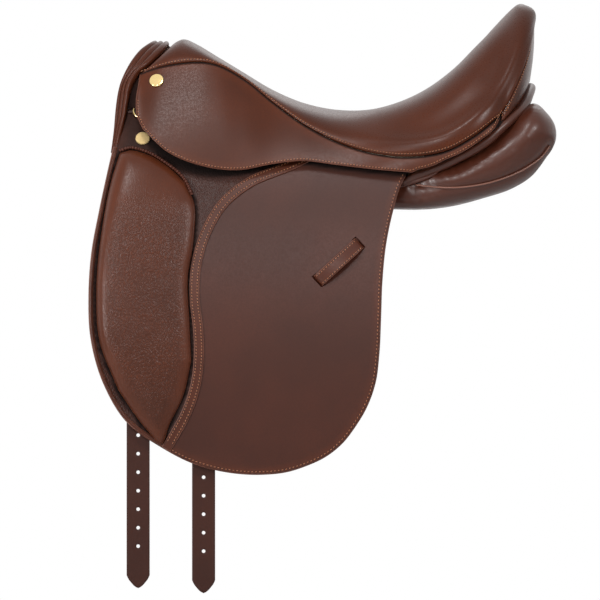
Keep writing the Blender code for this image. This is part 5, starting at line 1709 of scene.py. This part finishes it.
def make_dee(side, sign):
    """The dee ring in its leather chape, and the small tab in front of it."""
    hold = DEE_WIRE / 2 + DEE_PLAY + CHAPE_LEATHER
    place = surface_frame(sign, flap_half, *DEE_CENTRE, SURFACE_GAP + hold)
    angles = np.linspace(DEE_OPENING, math.tau - DEE_OPENING, 40)
    bar_x = DEE_RADIUS * math.cos(DEE_OPENING)
    arc = [place @ Vector((DEE_RADIUS * math.cos(a), DEE_RADIUS * math.sin(a), 0)) for a in angles]
    reach = DEE_RADIUS * math.sin(DEE_OPENING)
    arc += [place @ Vector((bar_x, y, 0)) for y in np.linspace(-reach, reach, 9)[1:-1]]
    ring = tube(side + "_dee", arc, DEE_WIRE / 2, finish("brass"), closed=True, sides=16)
    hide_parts(side + "_dee_ring")
    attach(ring, side + "_dee_ring")
    half_turn = np.linspace(0, math.pi, 13)
    outer, inner = ([(bar_x - radius * math.sin(a), radius * math.cos(a)) for a in half_turn]
                    for radius in (hold, hold - CHAPE_LEATHER))
    tail = bar_x + CHAPE_LENGTH
    outer = [(tail, hold - DEE_PLAY - DEE_WIRE / 2)] + outer + [(tail, -hold)]
    inner = [(tail, 0.0001 - hold + CHAPE_LEATHER)] + inner + [(tail, -hold + CHAPE_LEATHER)]
    across = np.linspace(-CHAPE_HALF_WIDTH, CHAPE_HALF_WIDTH, 9)
    grids = [np.array([[tuple(place @ Vector((x, y, h))) for y in across] for x, h in line])
             for line in (outer, inner)]
    chape = shell(side + "_dee_loop_leather", *grids, finish("bridle leather"))
    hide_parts(side + "_dee_chape")
    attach(chape, "root")
    make_tab(side, sign)


def make_tab(side, sign):
    """The small leather tab in front of the dee."""
    (x, z), (wide, high) = TAB_CORNER, TAB_SIZE
    corners = ((x, z), (x + wide, z), (x + wide, z + high), (x, z + high))
    outline = trace(*zip(corners, corners[1:] + corners[:1]), step=0.001)
    tab = leather_piece(side + "_small_tab", sign, outline,
                        lambda x, z, d, s: flap_half(x, z) + SURFACE_GAP + CHAPE_LEATHER,
                        lambda x, z, d, s: flap_half(x, z) + SURFACE_GAP, TAB_ROLL,
                        finish("bridle leather"), step=0.0015)
    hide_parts(side + "_front_tab")
    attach(tab, "root")


def dress_frame():
    """Finishes for the parts inside the saddle, which keep the frame's own shapes."""
    wear(("tree_frame",), "laminated beech")
    wear(("head_plate", "gullet_plate"), "steel")
    wear(("seat_web_long", "front_cross_web", "rear_cross_web"), "woven webbing")
    wear(("seat_foam",), "foam")
    for side, _ in SIDES:
        wear([side + part for part in ("_spring_steel", "_stirrup_bar", "_bar_catch", "_catch_pin")], "steel")
        wear((side + "_front_girth_web", side + "_rear_girth_web"), "woven webbing")


# What a user can change

def length(name, text, value):
    """A size in metres that a user can change."""
    return FloatProperty(name=name, description=text, default=value, min=0.0, unit="LENGTH",
                         subtype="DISTANCE", precision=4)


def tint(name, text, value):
    """A colour that a user can change."""
    return FloatVectorProperty(name=name, description=text, default=value, size=3, min=0.0, max=1.0,
                               subtype="COLOR")


class SaddleSizes(PropertyGroup):
    skirt_pitch: length("Skirt Stitch Pitch", "Distance from stitch to stitch on seat and skirt", 0.0038)
    flap_pitch: length("Flap Stitch Pitch", "Distance from stitch to stitch round the flap", 0.0045)
    skirt_stitch_in: length("Skirt Stitch Inset", "Distance of the skirt's stitches from its edge", 0.0027)
    flap_stitch_in: length("Flap Stitch Inset", "Distance of the flap's stitches from its edge", 0.0038)
    stitch_length: length("Stitch Length", "Length of the thread you see of one stitch", 0.0026)
    stitch_width: length("Stitch Width", "Thickness of the thread", 0.0010)
    stitch_slant: FloatProperty(name="Stitch Slant", description="Angle of each stitch across its row",
                                default=0.20, unit="ROTATION", subtype="ANGLE")
    grain_depth: length("Grain Depth", "Height of the leather's pebble grain", 0.00028)
    pebble: length("Pebble Size", "Size of one pebble of the grain", 0.0025)


class SaddleColours(PropertyGroup):
    seat: tint("Seat", "Leather of the seat and the pommel", (0.055, 0.0136, 0.0056))
    flap: tint("Flap", "Leather of the flaps and skirts", (0.040, 0.0094, 0.0043))
    grained: tint("Grained", "Pebbled leather of the knee blocks", (0.070, 0.0180, 0.0075))
    panel: tint("Panel", "Soft leather of the panels", (0.050, 0.0122, 0.0055))
    strap: tint("Strap", "Leather of the girth straps", (0.032, 0.0080, 0.0040))
    warm: tint("Warm Edge", "Redder dye towards the edges", (0.100, 0.0220, 0.0060))
    lip: tint("Cut Edge", "Burnished edge of the leather", (0.150, 0.062, 0.042))
    thread: tint("Thread", "Waxed thread", (0.30, 0.112, 0.047))
    brass: tint("Brass", "Nails and dee rings", (0.84, 0.62, 0.29))


def mix_finishes():
    """Build every leather, thread and metal from the panel's colours and sizes."""
    sizes, colours = bpy.context.scene.saddle_sizes, bpy.context.scene.saddle_colours
    for build in (grain_effect, edge_effect, tone_effect):
        build()
    warm, lip = colours.warm, colours.lip
    leather("seat leather", (colours.seat, warm, colours.seat), 0.31, pore=0.35, depth=0.00008, sheen=0.16)
    leather("skirt leather", (colours.seat, warm, lip), 0.34, pore=0.6, depth=0.00010, sheen=0.15)
    leather("flap leather", (colours.flap, warm, lip), 0.41, pebble=1.0, pebble_size=sizes.pebble, pore=0.12,
            depth=sizes.grain_depth, split=True)
    leather("grained leather", (colours.grained, warm, colours.grained), 0.34, pebble=1.0,
            pebble_size=sizes.pebble, pore=0.10, depth=sizes.grain_depth, split=True, sheen=0.19)
    leather("panel leather", (colours.panel, warm, colours.panel), 0.35, pore=0.35, depth=0.00008, sheen=0.34)
    # The piping's pale colour is a painted highlight
    leather("piping leather with painted highlight", ((0.135, 0.060, 0.042), warm, lip), 0.36, pore=0.3, depth=0.00006, sheen=0.4)
    leather("strap leather", (colours.flap, warm, lip), 0.38, pore=0.45, depth=0.00008)
    leather("bridle leather", (colours.strap, colours.strap, shaded(colours.strap, 1.6)), 0.44, pore=0.5,
            depth=0.00008)
    thread_material(colours.thread)
    # Dark discs at the stitch holes: painted shade of the holes
    plain("stitch hole shade", (0.012, 0.006, 0.004), 0.9)
    plain("foam", (0.060, 0.052, 0.046), 0.95)
    metal("brass", colours.brass, 0.60, False)
    # A darker copy of the brass, painted shade for the lower nails
    metal("brass in painted shade", shaded(colours.brass, 0.62)[:3], 0.68, False)
    metal("steel", (0.50, 0.50, 0.51), 0.34, True)
    webbing_material((0.52, 0.46, 0.34))
    beech_material((0.50, 0.33, 0.17))


# The stage

PICTURE_WIDTH = 0.714
CAMERA_AWAY = 5.0
PICTURE_CENTRE = Vector((-0.0476, 0.0, -0.1666))
FLOOR_LEVEL = -0.5185
FLOOR_HALF = 6
FLOOR_GLOW = 0.75
SKY_LIGHT = 0.17
LIT_POINT = Vector((0, 0, -0.15))
# Each lamp's name, place, diameter and power in watts
LAMPS = (("upper left lamp", (-0.70, -2.0, 0.85), 0.5, 16.0),
         ("top lamp", (-0.40, -1.3, 1.75), 0.5, 18.0),
         ("upper right lamp", (1.2, -1.55, 0.9), 0.50, 20.0),
         ("left lamp", (-1.7, -1.2, 0.2), 0.55, 23.0),
         ("off side lamp", (-0.13, 1.8, -0.15), 0.22, 13.0),
         ("rear lamp", (0.4, 2.0, 1.2), 1.2, 3.0))


def lay_floor():
    """A pale floor that shows white to the camera and keeps the saddle's shadow."""
    mesh = bpy.data.meshes.new("floor")
    corners = ((-1, -1), (1, -1), (1, 1), (-1, 1))
    mesh.from_pydata([(x * FLOOR_HALF, y * FLOOR_HALF, FLOOR_LEVEL) for x, y in corners], [], [(0, 1, 2, 3)])
    tree, shader, where = new_material("pale floor")
    cloud = put(tree, "ShaderNodeTexNoise", {"Vector": where, "Scale": 3.0})
    pale = mixed(tree, cloud.outputs[0], (0.86, 0.86, 0.86, 1), (0.90, 0.90, 0.90, 1))
    paint(tree, shader, pale, 0.9)
    shader.inputs["Emission Color"].default_value = (1, 1, 1, 1)
    seen = put(tree, "ShaderNodeLightPath")
    tree.links.new(sums(tree, "MULTIPLY", seen.outputs["Is Camera Ray"], FLOOR_GLOW),
                   shader.inputs["Emission Strength"])
    mesh.materials.append(finish("pale floor"))
    return in_scene("floor", mesh)


def hang_lamps():
    """Soft round studio lamps, turned to the saddle."""
    lamps = []
    for name, place, size, power in LAMPS:
        light = bpy.data.lights.new(name, "AREA")
        light.shape = "DISK"
        light.size = size
        light.energy = power
        lamp = in_scene(name, light)
        lamp.location = place
        lamp.rotation_euler = (LIT_POINT - Vector(place)).to_track_quat("-Z", "Y").to_euler()
        lamps.append(lamp)
    return lamps


def light_sky():
    """A world that looks white, and lights the saddle only a little."""
    world = bpy.data.worlds.new("white studio")
    bpy.context.scene.world = world
    world.use_nodes = True
    tree = world.node_tree
    seen = put(tree, "ShaderNodeLightPath")
    direct = sums(tree, "MAXIMUM", seen.outputs["Is Camera Ray"], seen.outputs["Is Glossy Ray"])
    direct = sums(tree, "MAXIMUM", direct, seen.outputs["Is Transmission Ray"])
    back = tree.nodes["Background"]
    back.inputs["Color"].default_value = (1, 1, 1, 1)
    strength = sums(tree, "ADD", sums(tree, "MULTIPLY", direct, 1 - SKY_LIGHT), SKY_LIGHT)
    tree.links.new(strength, back.inputs["Strength"])


def set_stage():
    """The floor, lamps and background, and the camera of the picture.

    The picture is taken from far off with a long lens, so the camera is a parallel one.
    """
    scene = bpy.context.scene
    floor, lamps = lay_floor(), hang_lamps()
    light_sky()
    lens = bpy.data.cameras.new("picture camera")
    lens.type = "ORTHO"
    lens.ortho_scale = PICTURE_WIDTH
    camera = in_scene("picture camera", lens)
    camera.location = PICTURE_CENTRE - Vector((0, CAMERA_AWAY, 0))
    camera.rotation_euler = (math.radians(90), 0, 0)
    scene.camera = camera
    scene.view_settings.view_transform = "Standard"


# The add-on

class SADDLE_OT_finishes(Operator):
    """Mix the leathers, thread and metals, and build the stitch pattern"""
    bl_idname = "saddle.finishes"
    bl_label = "Mix Finishes"

    def execute(self, context):
        mix_finishes()
        stitch_tree()
        dress_frame()
        return {"FINISHED"}


class SADDLE_OT_seat(Operator):
    """Build the seat, the facing and welt of the cantle, and the pommel rolls"""
    bl_idname = "saddle.seat"
    bl_label = "Build Seat"

    def execute(self, context):
        make_seat()
        make_cantle()
        make_welt()
        make_pommel()
        make_pommel_shade_sheet()
        return {"FINISHED"}


class SADDLE_OT_skirts(Operator):
    """Cut and stitch the skirts"""
    bl_idname = "saddle.skirts"
    bl_label = "Build Skirts"

    def execute(self, context):
        for side, sign in SIDES:
            make_skirt(side, sign)
            make_corner_shade_sheet(side, sign)
        return {"FINISHED"}


class SADDLE_OT_flaps(Operator):
    """Cut the flaps and under-flaps, with their strips, rims and keepers"""
    bl_idname = "saddle.flaps"
    bl_label = "Build Flaps"

    def execute(self, context):
        for side, sign in SIDES:
            make_flap(side, sign)
            make_strip(side, sign)
            make_rim(side, sign)
            make_keeper(side, sign)
            make_sweat_flap(side, sign)
        return {"FINISHED"}


class SADDLE_OT_padding(Operator):
    """Fill the panels and the knee blocks"""
    bl_idname = "saddle.padding"
    bl_label = "Build Padding"

    def execute(self, context):
        make_panels()
        for side, sign in SIDES:
            make_knee_block(side, sign)
        return {"FINISHED"}


class SADDLE_OT_straps(Operator):
    """Cut and punch the four girth straps"""
    bl_idname = "saddle.straps"
    bl_label = "Build Girth Straps"

    def execute(self, context):
        for side, sign in SIDES:
            for place, x, tip in BILLETS:
                make_billet(side, sign, place, x, tip)
        return {"FINISHED"}


class SADDLE_OT_fittings(Operator):
    """Set the nails, the dee rings and their leather loops"""
    bl_idname = "saddle.fittings"
    bl_label = "Build Fittings"

    def execute(self, context):
        for side, sign in SIDES:
            make_nail(side + "_upper_nail", sign, skirt_half, UPPER_NAIL)
            make_nail(side + "_lower_nail", sign, flap_half, LOWER_NAIL)
            make_dee(side, sign)
        return {"FINISHED"}


class SADDLE_OT_stage(Operator):
    """Set up the floor, lamps, background and camera"""
    bl_idname = "saddle.stage"
    bl_label = "Set Stage"

    def execute(self, context):
        set_stage()
        return {"FINISHED"}


STEPS = (SADDLE_OT_finishes, SADDLE_OT_seat, SADDLE_OT_skirts, SADDLE_OT_flaps, SADDLE_OT_padding,
         SADDLE_OT_straps, SADDLE_OT_fittings, SADDLE_OT_stage)


class SADDLE_PT_panel(Panel):
    """Sizes, colours and building steps of the saddle"""
    bl_label = "Dressage Saddle"
    bl_space_type = "VIEW_3D"
    bl_region_type = "UI"
    bl_category = "Saddle"

    def draw(self, context):
        for group in (context.scene.saddle_sizes, context.scene.saddle_colours):
            box = self.layout.box()
            for key in group.__annotations__:
                box.prop(group, key)
        for step in STEPS:
            self.layout.operator(step.bl_idname)


CLASSES = (SaddleSizes, SaddleColours, *STEPS, SADDLE_PT_panel)


def register():
    for cls in CLASSES:
        bpy.utils.register_class(cls)
    bpy.types.Scene.saddle_sizes = PointerProperty(type=SaddleSizes)
    bpy.types.Scene.saddle_colours = PointerProperty(type=SaddleColours)


def unregister():
    del bpy.types.Scene.saddle_sizes
    del bpy.types.Scene.saddle_colours
    for cls in reversed(CLASSES):
        bpy.utils.unregister_class(cls)


def main():
    register()
    bpy.ops.saddle.finishes()
    bpy.ops.saddle.seat()
    bpy.ops.saddle.skirts()
    bpy.ops.saddle.flaps()
    bpy.ops.saddle.padding()
    bpy.ops.saddle.straps()
    bpy.ops.saddle.fittings()
    bpy.ops.saddle.stage()


if __name__ == "__main__":
    main()
